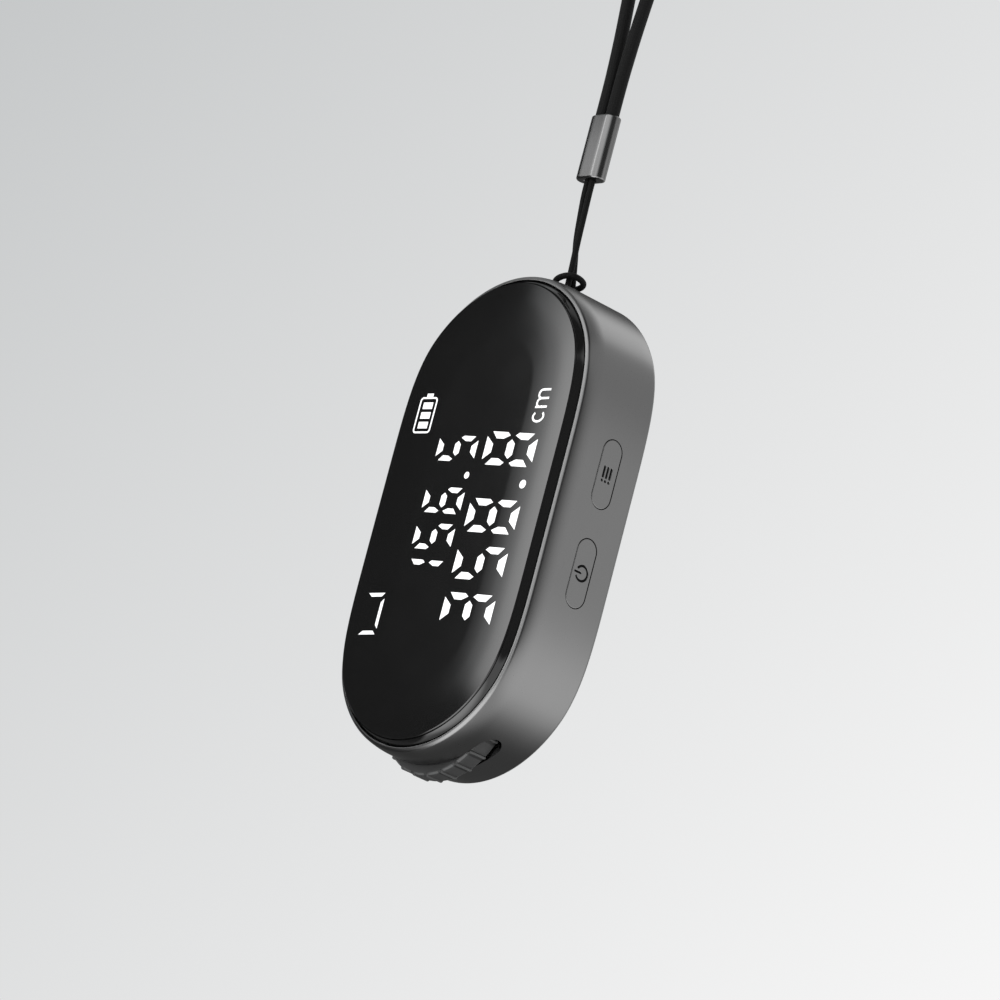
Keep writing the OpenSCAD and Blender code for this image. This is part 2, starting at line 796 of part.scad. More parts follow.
module switch_bodies() {
    hole = plunger_in + button_travel + fit_gap;
    color("black") for (y = [menu_y, power_y]) difference() {
        translate([switch_face - switch_t, y - switch_w / 2, side_z - switch_h / 2])
            cube([switch_t, switch_w, switch_h]);
        translate([switch_face - hole, y, side_z]) rotate([0, 90, 0])
            cylinder(r = plunger_r + 2 * fit_gap, h = hole + past);
    }
}

module charge_board() {
    color("darkgreen") box_at([socket_x + charge_board_in + charge_board_len / 2, socket_y], [
        charge_board_len, charge_board_w, board_t
    ], charge_board_top - board_t);
}

module charge_socket() {
    color("silver") difference() {
        side_pill(socket_x, socket_y, socket_w, socket_h, socket_d);
        side_pill(socket_x - past, socket_y, socket_w - 2 * socket_wall, socket_h - 2 * socket_wall,
            socket_d - 2 * socket_wall + past);
    }
}

module charge_tongue() {
    x1 = socket_x + socket_d - 2 * socket_wall;
    color("black") translate([x1 - tongue_len, socket_y - tongue_w / 2, side_z - tongue_t / 2])
        cube([tongue_len, tongue_w, tongue_t]);
}

// Strap
module lanyard_pin() {
    color("silver") post(pin_at, pin_d / 2, side_z - pin_len / 2, side_z + pin_len / 2);
}

function from_ferrule(p) = [for (q = p) [q[0], ferrule_y + end_depth + q[1], side_z + q[2]]];
function in_pocket(p, z) = [for (q = p) [q[0], body_len / 2 + q[1], side_z + z]];
function on_top(p) = [for (q = p) [q[0], body_len / 2 + q[1], side_z + q[2]]];
function back_half(p) = [for (i = [len(p) - 2:-1:0]) [p[i][0], p[i][1], -p[i][2]]];
function reversed(p) = [for (i = [len(p) - 1:-1:0]) p[i]];

module hitch_cord() {
    color("black") tube(concat(
        from_ferrule(hitch_front),
        in_pocket(hitch_turn, cord_pitch / 2),
        on_top(hitch_ring),
        on_top(back_half(hitch_ring)),
        in_pocket(reversed(hitch_turn), -cord_pitch / 2),
        from_ferrule(hitch_back)
    ), cord_d, [0, 0, 1]);
}

module ferrule() {
    half = (ferrule_w - ferrule_t) / 2;
    r = ferrule_t / 2;
    inner = r - ferrule_round;
    color("gray") translate([0, ferrule_y, strap_z]) rotate([-90, 0, 0]) difference() {
        rotate(90) pill_turn(half) {
            translate([0, ferrule_round]) square([r, ferrule_len - 2 * ferrule_round]);
            square([inner, ferrule_len]);
            for (y = [ferrule_round, ferrule_len - ferrule_round])
                translate([inner, y]) circle(ferrule_round);
        }
        translate([0, 0, -past]) linear_extrude(end_depth + past)
            slot2d(cord_pitch + cord_d + fit_gap, cord_d + fit_gap);
        translate([0, 0, ferrule_len - end_depth]) linear_extrude(end_depth + past)
            slot2d(strap_pitch + strap_d + fit_gap, strap_d + fit_gap);
    }
}

module strap_loop() {
    path = concat(loop_side, [[0, loop_len]], mirrored(concat(loop_side, [[0, loop_len]])));
    color("black") tube([
        for (i = [0:len(path) - 1]) [
            path[i][0],
            ferrule_top + (i == 0 || i == len(path) - 1 ? -end_depth : path[i][1]),
            strap_z
        ]
    ], strap_d, [0, 0, 1]);
}

hung() side_frame();
hung() back_cover();
hung() front_lens();
hung() lens_gasket();
hung() menu_button();
hung() power_button();
hung() menu_plunger();
hung() power_plunger();
hung() wheel_tyre();
hung() wheel_hub();
hung() wheel_axle();
hung() encoder_magnet();
hung() front_bush();
hung() back_bush();
hung() bearing_bridge();
hung() bridge_screws();
hung() chassis();
hung() chassis_screws();
hung() sensor_board();
hung() hall_sensor();
hung() main_board();
hung() board_chips();
hung() board_screws();
hung() led_chips();
hung() segment_reflector();
hung() diffuser_film();
hung() battery();
hung() battery_tape();
hung() button_board();
hung() switch_bodies();
hung() charge_board();
hung() charge_socket();
hung() charge_tongue();
hung() lanyard_pin();
hung() hitch_cord();
hung() ferrule();
hung() strap_loop();
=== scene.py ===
# %% [markdown]
# # A pocket measuring ruler, dressed for its portrait
#
# The object is a small digital ruler: a metal housing with a domed black window, two side keys, a ribbed
# measuring wheel at its lower end, and a strap that it hangs from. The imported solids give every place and
# size, so this lesson only adds what solids lack: soft edges, engraved signs, lit figures, braid, and
# finishes.

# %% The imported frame
import json

import bmesh
import bpy
import numpy as np
from mathutils import Matrix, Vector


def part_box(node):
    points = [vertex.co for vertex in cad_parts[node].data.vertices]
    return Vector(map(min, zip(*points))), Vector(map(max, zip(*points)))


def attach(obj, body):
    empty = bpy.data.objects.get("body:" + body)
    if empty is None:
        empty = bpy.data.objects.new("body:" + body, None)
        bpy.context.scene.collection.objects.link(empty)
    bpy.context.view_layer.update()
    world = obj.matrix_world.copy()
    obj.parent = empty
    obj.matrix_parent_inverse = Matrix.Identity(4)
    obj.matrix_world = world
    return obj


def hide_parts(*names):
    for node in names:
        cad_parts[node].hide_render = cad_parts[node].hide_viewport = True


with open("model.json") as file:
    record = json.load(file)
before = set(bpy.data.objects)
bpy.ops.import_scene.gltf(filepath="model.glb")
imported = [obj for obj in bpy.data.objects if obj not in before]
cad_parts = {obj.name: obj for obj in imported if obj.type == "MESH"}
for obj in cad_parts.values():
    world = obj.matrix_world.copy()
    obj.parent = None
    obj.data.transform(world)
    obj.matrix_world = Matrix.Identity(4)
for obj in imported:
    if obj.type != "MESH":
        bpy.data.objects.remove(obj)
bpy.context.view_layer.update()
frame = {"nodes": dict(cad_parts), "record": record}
scene = bpy.context.scene
scene.view_settings.view_transform = "Standard"

# %% [markdown]
# The source draws the ruler lying down, in millimetres: x across the display, y along the housing towards
# the strap, z out of the display. In the row it hangs, so z turns to -Y and y turns to Z. Every piece
# below is worked out in the drawing's millimetres and hung at the end, which keeps the numbers easy to
# read.

# %% Drawing axes
MM = 0.001
housing_low, housing_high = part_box("side_frame")
middle = np.array((housing_low + housing_high) / 2)


def floats(values):
    """Nested numbers as one array."""
    return np.asarray(values, dtype=float)


def hung(points):
    """Drawing millimetres to metres in the row: X is x, Y is -z, Z is y from the housing's middle."""
    x, y, z = np.moveaxis(floats(points), -1, 0)
    return np.stack((x * MM, -z * MM, y * MM + middle[2]), axis=-1)


def drawn_box(node):
    """A node's low and high corner in drawing millimetres."""
    low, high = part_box(node)
    low_mm = np.array((low[0], low[2] - middle[2], -high[1])) / MM
    high_mm = np.array((high[0], high[2] - middle[2], -low[1])) / MM
    return low_mm, high_mm


def drawn_middle(node):
    """The middle of a node's box in drawing millimetres."""
    return sum(drawn_box(node)) / 2


back_z = drawn_box("side_frame")[0][2]
half_width, half_length, front_z = drawn_box("side_frame")[1]
spine = half_length - half_width
print("housing half width, half length and spine in mm:", half_width, half_length, spine)

# %% [markdown]
# The portrait is taken with a long lens from below and from the right, and the camera is rolled. Its
# angles were found by fitting the housing's straight edges, its round ends and the lens edge to the
# picture. A camera that is placed by three unit vectors needs no helper object to aim at.

# %% Camera
azimuth, elevation, roll = np.radians((50.52, -14.11, 14.76))
level = np.array((np.cos(azimuth), np.sin(azimuth), 0))
back = np.array((
    np.cos(elevation) * np.sin(azimuth), -np.cos(elevation) * np.cos(azimuth), np.sin(elevation)))
over = np.cross(back, level)
right = np.cos(roll) * level + np.sin(roll) * over
up = np.cos(roll) * over - np.sin(roll) * level
view_distance, view_right, view_up = 966.49, 0.549, 4.311
camera_place = middle + MM * (view_distance * back + view_right * right + view_up * up)

sensor_mm, frame_px, focal_px = 36, 1000, 6155
camera_data = bpy.data.cameras.new("portrait_camera")
camera_data.sensor_width = sensor_mm
camera_data.lens = sensor_mm * focal_px / frame_px
camera_data.clip_end = 30
camera = bpy.data.objects.new("portrait_camera", camera_data)
pose = np.eye(4)
pose[:3, :3] = np.stack((right, up, back), axis=1)
pose[:3, 3] = camera_place
camera.matrix_world = Matrix(pose.tolist())
scene.collection.objects.link(camera)
scene.camera = camera
print("camera at", np.round(camera_place, 3), "lens", round(camera_data.lens, 1), "mm")

# %% [markdown]
# All pieces are grids of points. A grid becomes a mesh with four-sided faces between its rows and
# columns. Where rows or columns close, the first line is repeated as the last and welded, so a pattern's
# UV map keeps its seam. Poles are rows that shrink to one point, and welding turns their faces into
# triangles.

# %% From a grid to a piece
def grid_faces(rows, columns):
    """The quads of a grid whose points are counted row by row."""
    corner = np.arange(rows - 1)[:, None] * columns + np.arange(columns - 1)[None, :]
    return np.stack((corner, corner + columns, corner + columns + 1, corner + 1), axis=-1).reshape(-1, 4)


def weld(mesh, gap=2e-7):
    """Join doubled points, then turn a shell that is inside out, which its signed volume shows."""
    work = bmesh.new()
    work.from_mesh(mesh)
    bmesh.ops.remove_doubles(work, verts=work.verts, dist=gap)
    bmesh.ops.dissolve_degenerate(work, edges=work.edges, dist=gap)
    if work.calc_volume(signed=True) < 0:
        bmesh.ops.reverse_faces(work, faces=work.faces)
    work.to_mesh(mesh)
    work.free()


def soften(mesh, sharp_degrees=38):
    """Shade a mesh smooth, apart from edges that turn more than the given angle."""
    mesh.shade_smooth()
    mesh.set_sharp_from_angle(angle=np.radians(sharp_degrees))


def make_piece(name, grids, sharp_degrees=38, uv=None, marks=None):
    """One object from grids of drawn points, with a UV grid or a number at each point if given."""
    grids = grids if isinstance(grids, list) else [grids]
    points = np.concatenate([hung(grid).reshape(-1, 3) for grid in grids])
    starts = np.cumsum([0] + [grid.shape[0] * grid.shape[1] for grid in grids])
    faces = np.concatenate([grid_faces(*grid.shape[:2]) + start for grid, start in zip(grids, starts)])
    mesh = bpy.data.meshes.new(name)
    mesh.from_pydata(points, [], faces)
    if uv is not None:
        layer = mesh.uv_layers.new(name="along")
        layer.uv.foreach_set("vector", uv.reshape(-1, 2)[faces.ravel()].ravel())
    # The number at each point: ink in the keys' engravings, painted highlight and painted shade on the tyre
    if marks is not None:
        attribute = mesh.attributes.new("ink_and_painted_light", "FLOAT", "POINT")
        attribute.data.foreach_set("value", np.ascontiguousarray(marks, dtype=np.float32).ravel())
    weld(mesh)
    soften(mesh, sharp_degrees)
    piece = bpy.data.objects.new(name, mesh)
    scene.collection.objects.link(piece)
    return piece


slot_of = {}


def place_piece(piece, body, slot, *nodes):
    """Ride a piece on its body, name its material slot, and let it stand for the nodes it replaces."""
    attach(piece, body)
    slot_of[piece] = slot
    if nodes:
        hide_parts(*nodes)
    print(piece.name, "has", len(piece.data.polygons), "faces")


# %% [markdown]
# The strap and the thin cord come first. Both are limp, and both follow a smooth curve through the points
# that the source uses: the strap rises in two strands from the crimped sleeve and closes in its loop, and
# the thin cord runs doubled from the sleeve, round the pin in the housing's top, and back through a small
# ring of itself.
#
# A Catmull-Rom curve passes through its points, so nothing has to be fitted. Around it goes a ring of
# points in a frame that is carried along without twist, because a frame from a fixed direction would flip
# in the knot.

# %% Curves and tubes
def through(points, steps):
    """Catmull-Rom: cubics whose slope at each point is half the way between its two neighbours."""
    p = floats(points)
    p = np.concatenate((2 * p[:1] - p[1:2], p, 2 * p[-1:] - p[-2:-1]))
    t = np.arange(steps)[None, :, None] / steps
    a, b, c, d = p[:-3, None], p[1:-2, None], p[2:-1, None], p[3:, None]
    curve = b + (c - a) * t / 2 + (2 * a - 5 * b + 4 * c - d) * t**2 / 2 + (3 * b - a - 3 * c + d) * t**3 / 2
    return np.concatenate((curve.reshape(-1, 3), p[-2:-1]))


def carried_frames(path, first):
    """Two directions square to the path at each point: the last pair, made square to the new heading."""
    heading = np.gradient(path, axis=0)
    heading /= np.linalg.norm(heading, axis=1, keepdims=True)
    side = np.empty_like(path)
    last = floats(first)
    for index, ahead in enumerate(heading):
        last = last - last.dot(ahead) * ahead
        last /= np.linalg.norm(last)
        side[index] = last
    return side, np.cross(heading, side)


def way(path):
    """The length gone at each point of a path."""
    return np.concatenate(([0], np.cumsum(np.linalg.norm(np.diff(path, axis=0), axis=1))))


def tube(path, radius, first, sides):
    """A circle carried along a path and closed at both ends, and its UV: turns round, millimetres along."""
    side, other = carried_frames(path, first)
    angle = np.linspace(0, 2 * np.pi, sides + 1)
    ring = side[:, None] * np.cos(angle)[None, :, None] + other[:, None] * np.sin(angle)[None, :, None]
    wall = path[:, None] + radius * ring
    ends = np.repeat(path[[0, -1], None], sides + 1, axis=1)
    grid = np.concatenate((ends[:1], wall, ends[1:]))
    gone = np.concatenate(([0], way(path), [way(path)[-1]]))
    uv = np.stack(np.broadcast_arrays(angle[None, :] / (2 * np.pi), gone[:, None]), axis=-1)
    return grid, uv


# %% Route of the strap
sleeve_low, sleeve_high = drawn_box("ferrule")
strap_z, key_z = drawn_middle("ferrule")[2], drawn_middle("menu_button")[2]
cord_inside, cord_d, strap_d, loop_top = 2, 1.0, 2.2, 59.6
# Half of the strap's loop: out from its middle, up from the sleeve
loop_side = np.array((
    (1.2, 0), (1.2, 3), (1.25, 6.5), (1.4, 10), (1.65, 14), (2, 18), (2.5, 23), (3.1, 28),
    (3.8, 34), (4.5, 40), (5.1, 46), (5.5, 50.5), (5.6, 54), (4.85, 56.8), (2.8, 58.85)))
loop_flat = np.concatenate((loop_side, ((0, loop_top),), loop_side[::-1] * (-1, 1)))
loop_flat[[0, -1], 1] = -cord_inside
loop_points = np.column_stack((
    loop_flat[:, 0], sleeve_high[1] + loop_flat[:, 1], np.full(len(loop_flat), strap_z)))
print("strap points:", len(loop_points))

# %% Route of the thin cord
# Down from the sleeve, round the pin in the pocket, through the ring, and back up
hitch_front = np.array((
    (0.55, 0, 0.5), (0.55, -4, 0.5), (0.8, -8, 0.6), (1, -12, 0.65), (1.2, -15.5, 0.65),
    (1.3, -18.5, 0.6), (1.3, -20.5, 0.55)))
hitch_turn = np.array((
    (1.3, -1.8), (1.2, -2.35), (0.85, -2.8), (0.3, -3.05), (-0.3, -3.05), (-0.85, -2.8),
    (-1.2, -2.35), (-1.3, -1.8), (-1.3, -0.6), (-1.3, 0.5)))
hitch_ring = np.array((
    (-1.25, 1.05, 0.8), (-0.9, 1.4, 1.25), (-0.1, 1.5, 1.6), (1, 1.5, 1.75), (2, 1.5, 1.55),
    (2.75, 1.5, 0.95), (3, 1.5, 0)))
ring_lean, ring_level, ring_rise, ring_spread, pin_z = 0.18, 1, 0.2, 1.08, 0.55
hitch_back = np.array((
    (1.3, -20.5, -0.55), (1.1, -18.5, -0.5), (0.7, -15.5, -0.35), (0.2, -12, -0.05),
    (-0.2, -8, 0.2), (-0.55, -4, 0.5), (-0.55, 0, 0.5)))
strand_bow, bow_start, bow_len = np.array((-0.25, 0, 0.15)), -20.46, 16.5
bowed = np.sin(np.pi * np.clip((hitch_back[:, 1] - bow_start) / bow_len, 0, 1))
hitch_back = hitch_back + bowed[:, None] * strand_bow
from_sleeve = np.array((0, sleeve_low[1] + cord_inside, key_z))
from_top = np.array((0, half_length, key_z))
pin_front = np.column_stack((hitch_turn, np.full(len(hitch_turn), pin_z)))
pin_back = pin_front[::-1] * (1, 1, -1)
ring = np.concatenate((hitch_ring, hitch_ring[-2::-1] * (1, 1, -1)))
ring[1:-1, 1] += ring_rise
ring[1:-1] *= (ring_spread, 1, ring_spread)
ring[:, 1] += ring_lean * (ring[:, 0] - ring_level + ring[:, 2])
hitch_points = np.concatenate((
    from_sleeve + hitch_front, from_top + pin_front, from_top + ring, from_top + pin_back,
    from_sleeve + hitch_back))
print("thin cord points:", len(hitch_points))

# %% Strap and thin cord
strap_path = through(loop_points, steps=8)
strap_grid, strap_uv = tube(strap_path, strap_d / 2, (0, 0, 1), sides=28)
strap = make_piece("strap", strap_grid, sharp_degrees=60, uv=strap_uv)
place_piece(strap, "housing", "strap_black", "strap_loop")
cord_path = through(hitch_points, steps=6)
cord_grid, cord_uv = tube(cord_path, cord_d / 2, (0, 0, 1), sides=20)
thin_cord = make_piece("thin_cord", cord_grid, sharp_degrees=60, uv=cord_uv)
place_piece(thin_cord, "housing", "cord_black", "hitch_cord")
print("strap", round(way(strap_path)[-1], 1), "mm, thin cord", round(way(cord_path)[-1], 1), "mm")

# %% [markdown]
# Most hard pieces of this object share one outline: a pill, two half turns joined by straight runs. The
# housing, the window, the back cover, the keys, their holes and the crimped sleeve are all a profile
# carried round a pill. Each row of the profile has its own spine, so a hole in a sleeve may be rounder
# than the sleeve.

# %% Pill surfaces
def pill_ring(turn_steps, run_steps):
    """Once round a pill: the heading as an angle, and the place along the spine from -1 to 1."""
    half_turn = np.linspace(0, np.pi, turn_steps + 1)
    run = np.linspace(1, -1, run_steps + 1)[1:-1]
    angle = np.concatenate((half_turn, np.full(run.size, np.pi), half_turn + np.pi, np.zeros(run.size), [0]))
    along = np.concatenate((np.ones(turn_steps + 1), run, -np.ones(turn_steps + 1), -run, [1]))
    return angle, along


def pill_surface(profile, ring):
    """For each profile row (spine, radius, height): across is radius cos, along is spine plus radius sin."""
    angle, along = ring
    half, radius, height = (floats(profile).T)[:, :, None]
    across = radius * np.cos(angle)
    length = half * along + radius * np.sin(angle)
    return across, length, np.broadcast_to(height, across.shape)


def arc(centre, radius, start, stop, steps):
    """Points on a circle from one angle to another, in degrees."""
    angle = np.radians(np.linspace(start, stop, steps + 1))
    return np.column_stack((centre[0] + radius * np.cos(angle), centre[1] + radius * np.sin(angle)))


def with_spine(half, *runs):
    """Stack runs of (radius, height) points and give each the same half spine."""
    points = np.concatenate([np.atleast_2d(floats(run)) for run in runs])
    return np.column_stack((np.full(len(points), half), points))


LYING, FACING_SIDE, ALONG_END = (0, 1, 2), (2, 1, 0), (1, 2, 0)


def laid(pill, order, shift=(0, 0, 0)):
    """Across, along and height in an order, as x, y and z: with the display, in a long side or in an end."""
    return np.stack([pill[axis] for axis in order], axis=-1) + floats(shift)


def cut(piece, *cutters):
    """Take closed cutters out of a piece with exact Boolean steps, and keep the result as its mesh."""
    for cutter in cutters:
        step = piece.modifiers.new(cutter.name, "BOOLEAN")
        step.operation = "DIFFERENCE"
        step.solver = "EXACT"
        step.object = cutter
    shape = bpy.data.meshes.new_from_object(piece.evaluated_get(bpy.context.evaluated_depsgraph_get()))
    piece.modifiers.clear()
    piece.data = shape
    soften(shape)
    for cutter in cutters:
        bpy.data.objects.remove(cutter)


# %% [markdown]
# The housing is a bent and ground ring of metal. Seen end on, its wall is straight, then leans in over a
# wide radius, and ends in a small round rim beside the window; the back edge has its own round. Carrying
# that profile round the outline gives true normals on every edge, which is what makes the long highlights
# run clean. The outline is a pill whose straight sides ease into its round ends.

# %% Housing ring
back_round, crown_r, crown_t, rim_round, rim_drop, rim_lip = 0.7, 12.5, 3.8, 0.64, 0.28, 0.06
crown_z = front_z - crown_t
rim_top = front_z - rim_drop
rim_z = rim_top - rim_round
rim_x = half_width - crown_r + np.sqrt((crown_r - rim_round)**2 - (rim_z - crown_z)**2)
crown_lean = np.degrees(np.arcsin((rim_z - crown_z) / (crown_r - rim_round)))
window_seat, window_hole, front_hole, inner_wall = 6.1, rim_x - rim_lip, 19.304, 20.1
cover_deep, cover_hole, seat_hole, seat_t = 1.3, 19.4, 17.2, 1
cover_seat, wall_steps = back_z + cover_deep, 5
housing_profile = with_spine(
    spine,
    (cover_hole, back_z), (half_width - back_round, back_z),
    arc((half_width - back_round, back_z + back_round), back_round, -90, 0, 14)[1:],
    np.linspace((half_width, back_z + back_round), (half_width, crown_z), wall_steps + 1)[1:],
    arc((half_width - crown_r, crown_z), crown_r, 0, crown_lean, 10)[1:],
    arc((rim_x, rim_z), rim_round, crown_lean, 90, 14)[1:],
    (window_hole, rim_top), (window_hole, window_seat), (front_hole, window_seat),
    (front_hole, window_seat - seat_t), (inner_wall, window_seat - seat_t),
    (inner_wall, cover_seat + seat_t), (seat_hole, cover_seat + seat_t), (seat_hole, cover_seat),
    (cover_hole, cover_seat), (cover_hole, back_z))
side_blend = 12


def eased_ring(steps):
    """Round the housing: near the spine's ends, the heading and the place along it ramp as parabolas."""
    way_round = np.linspace(0, spine + half_width * np.pi / 2, steps + 1)
    turned, left = np.maximum(way_round - spine, 0), np.maximum(spine - way_round, 0)
    inside = np.abs(way_round - spine) < side_blend
    turned[inside] = (way_round[inside] - spine + side_blend)**2 / (4 * side_blend)
    left[inside] = (spine + side_blend - way_round[inside])**2 / (4 * side_blend)
    heading, place = turned / half_width, 1 - left / spine
    angle = np.concatenate((heading, np.pi - heading[-2::-1], np.pi + heading[1:], -heading[-2::-1]))
    return angle, np.concatenate((place, place[-2::-1], -place[1:], -place[-2::-1]))


housing_ring = eased_ring(104)
housing = make_piece("housing_ring", laid(pill_surface(housing_profile, housing_ring), LYING))
print("whole housing ring has", len(housing.data.polygons), "faces")

# %% [markdown]
# The openings are cut after the ring is made: two key holes and a charging port in the long sides, the
# wheel's slot in the lower end, and the pocket for the cord in the upper end. Each cutter is a closed
# pill of its own, a Boolean step takes it out, and the edges stay crisp as in milled metal.

# %% Openings in the housing
small_ring = pill_ring(turn_steps=24, run_steps=4)


def pill_block(name, half, radius, low, high, order, shift=(0, 0, 0)):
    """A closed pill from one height to another, laid in an order."""
    profile = with_spine(half, (0, low), (radius, low), (radius, high), (0, high))
    return make_piece(name, laid(pill_surface(profile, small_ring), order, shift))


key_len, key_w, key_gap, port_gap = 11.2, 4.0, 0.12, 0.2
key_half = (key_len - key_w) / 2
key_places = {name: drawn_middle(name)[1] for name in ("menu_button", "power_button")}
port_low, port_high = drawn_box("charge_socket")
port_r = (port_high[2] - port_low[2]) / 2
port_half = (port_high[1] - port_low[1]) / 2 - port_r
port_at = (0, drawn_middle("charge_socket")[1], key_z)
slot_half, slot_r = 11.5, 2.05
pocket_half, pocket_r, pocket_cut = 1.15, 1.25, 1.45
past = 1
wall_in, wall_out, ends_out = inner_wall - past, half_width + past, half_length + past
cutters = [
    pill_block("cut_" + name, key_half, key_w / 2 + key_gap, wall_in, wall_out, FACING_SIDE, (0, at, key_z))
    for name, at in key_places.items()]
cutters += [
    pill_block("cut_port", port_half, port_r + port_gap, -wall_out, -wall_in, FACING_SIDE, port_at),
    pill_block("cut_slot", slot_half, slot_r, -ends_out, -spine, ALONG_END),
    pill_block(
        "cut_pocket", pocket_half, pocket_r, half_length - pocket_cut, ends_out, ALONG_END, (0, 0, key_z))]
cut(housing, *cutters)
place_piece(housing, "housing", "housing_grey", "side_frame")

# %% [markdown]
# The cord's pocket has a floor and walls behind the thin ring. They are one small cup with the pocket's
# outline.

# %% Cord pocket
cup_deep, cup_wall, cup_floor_t, cup_top_in, cup_top_out = 4.6, 0.9, 0.7, 1.2, 1.4
cup_floor, cup_r = half_length - cup_deep, pocket_r + cup_wall
cup_profile = with_spine(
    pocket_half,
    (0, cup_floor), (pocket_r, cup_floor), (pocket_r, half_length - cup_top_in),
    (cup_r, half_length - cup_top_out), (cup_r, cup_floor - cup_floor_t), (0, cup_floor - cup_floor_t))
cup = make_piece("cord_pocket", laid(pill_surface(cup_profile, small_ring), ALONG_END, (0, 0, key_z)))
place_piece(cup, "housing", "housing_grey")

# %% [markdown]
# The back cover is a flat plate let into the back, with an eased edge so that the joint shows as a fine
# line.

# %% Back cover
cover_low, cover_high = drawn_box("back_cover")
cover_r, cover_ease = cover_high[0], 0.2
cover_profile = with_spine(
    spine, (0, cover_high[2]), (cover_r, cover_high[2]), (cover_r, cover_low[2] + cover_ease),
    arc((cover_r - cover_ease, cover_low[2] + cover_ease), cover_ease, 0, -90, 5)[1:], (0, cover_low[2]))
cover = make_piece("back_plate", laid(pill_surface(cover_profile, eased_ring(72)), LYING))
place_piece(cover, "housing", "housing_grey", "back_cover")

# %% [markdown]
# The window is a moulded dome: flat along its middle, then falling ever faster out to a fine groove and a
# steep bevel that dips into the housing just inside its rim. A table gives the slope in degrees at some
# distances from the middle, and adding it up gives the dome. That slope gathers the long soft reflection
# on the right side.

# %% Window
window_low, window_high = drawn_box("front_lens")
film_lift, foot_gap, foot_w, floor_t = 0.03, 0.1, 1, 0.6
window_top, window_bottom = window_high[2] - film_lift, window_low[2]
foot_r, floor_z = window_hole - foot_gap, window_bottom + floor_t
flat_end, dome_start, dome_end, edge_ease = 9, 9.6, 19.33, 0.05
dome_slope = (
    (0, 0), (9.9, 0), (10.6, 0.24), (13, 0.4), (15, 0.68), (16, 0.97), (17, 1.42), (18, 1.72),
    (dome_end, 1.95))
groove_x, groove_drop, bevel_x, bevel_drop, bevel_lean = 19.46, 0.42, 19.64, 0.235, 32
dome_x = np.append(np.linspace(0, flat_end, 4), np.linspace(dome_start, dome_end, 48))
dome_fall = np.tan(np.radians(np.interp(dome_x, *np.transpose(dome_slope))))
dome_drop = np.append(0, np.cumsum(np.diff(dome_x) * (dome_fall[1:] + dome_fall[:-1]) / 2))
dome_z = window_top - dome_drop[-1]
foot_z = dome_z - bevel_drop - (foot_r - bevel_x) / np.tan(np.radians(bevel_lean))
window_profile = with_spine(
    spine,
    np.column_stack((dome_x, window_top - dome_drop)),
    (dome_end + edge_ease, dome_z - edge_ease), (groove_x, dome_z - groove_drop),
    (bevel_x, dome_z - bevel_drop), (foot_r, foot_z), (foot_r, window_bottom),
    (foot_r - foot_w, window_bottom), (foot_r - foot_w, floor_z), (0, floor_z))
print("window foot at", round(foot_z, 2), "beside the rim at", round(rim_top, 2), "radius", round(foot_r, 2))
window = make_piece("window", laid(pill_surface(window_profile, housing_ring), LYING))
place_piece(window, "housing", "lens_black", "front_lens")


def window_height(x, y):
    """The window's height at a place: its top, less the dome's fall at that distance from the spine."""
    past_spine = np.maximum(np.abs(y) - spine, 0)
    return window_top - np.interp(np.hypot(x, past_spine), dome_x, dome_drop)


# %% [markdown]
# The figures glow through the black window as plain white bars. Each bar is a thin plate between two
# edges, its outer one long and its inner one short, so that bars meet in mitred corners. The plates
# follow the dome, which keeps them on the glass from every side. They read along the housing, heads
# towards its left side.

# %% Lit plates
def stations(edge, shares=5):
    """More points along an edge: each straight run is shared out evenly, alike for both edges of a plate."""
    edge = floats(edge)
    corners = np.arange(len(edge))
    places = np.linspace(0, corners[-1], corners[-1] * shares + 1)
    return np.column_stack([np.interp(places, corners, axis) for axis in edge.T])


film_place, film_sink = np.array((0.09, -0.09)), 0.08


def plate(edge_a, edge_b, closed=False):
    """A ribbon between two edges on the window: four corners at each station, a point at open ends."""
    a, b = floats(edge_a) + film_place, floats(edge_b) + film_place
    corners = np.stack((a, b, b, a, a), axis=1)
    above_window = np.array((film_lift, film_lift, -film_sink, -film_sink, film_lift))
    height = window_height(corners[..., 0], corners[..., 1]) + above_window
    grid = np.concatenate((corners, height[..., None]), axis=-1)
    if closed:
        return grid
    ends = np.repeat(grid[[0, -1], :4].mean(axis=1, keepdims=True), 5, axis=1)
    return np.concatenate((ends[:1], grid, ends[1:]))


# %% Bars of a figure
def reading(base, start, points, lean=0.0):
    """Reading axes to the drawing's: up is -x from the base, along is y from the start, plus the lean."""
    along, height = np.moveaxis(floats(points), -1, 0)
    return np.stack((base - height, start + along + lean * height), axis=-1)


def figure_bars():
    """The seven bars of a large figure as pairs of edges, the outer one long and the inner one short."""
    wide, high = 5.58, 12.1
    half = high / 2
    flat = np.array((((0.77, high), (wide - 0.77, high)), ((2.05, high - 1.8), (wide - 2.05, high - 1.8))))
    tall = np.array((
        ((0, high - 0.92), (0, half + 1.33), (0.52, half + 0.54)),
        ((1.18, high - 2.2), (1.18, half + 2.08), (0.52, half + 0.54))))
    waist = np.array(((1.1, half), (1.8, half + 0.9), (wide - 1.8, half + 0.9), (wide - 1.1, half)))
    other_side, upside_down, lifted = np.array((-1, 1)), np.array((1, -1)), (0, high)
    return {
        "top": flat, "bottom": flat * upside_down + lifted, "middle": (waist, waist * upside_down + lifted),
        "top_left": tall, "top_right": tall * other_side + (wide, 0),
        "low_left": tall * upside_down + lifted, "low_right": -tall + (wide, high)}


BARS = {
    "1": ("top_right", "low_right"), "3": ("top", "top_right", "low_right", "bottom", "middle"),
    "5": ("top", "top_left", "middle", "low_right", "bottom"),
    "6": ("top", "top_left", "middle", "low_right", "bottom", "low_left"),
    "8": ("top", "top_right", "low_right", "bottom", "low_left", "top_left", "middle")}


figure_lean = 0.07


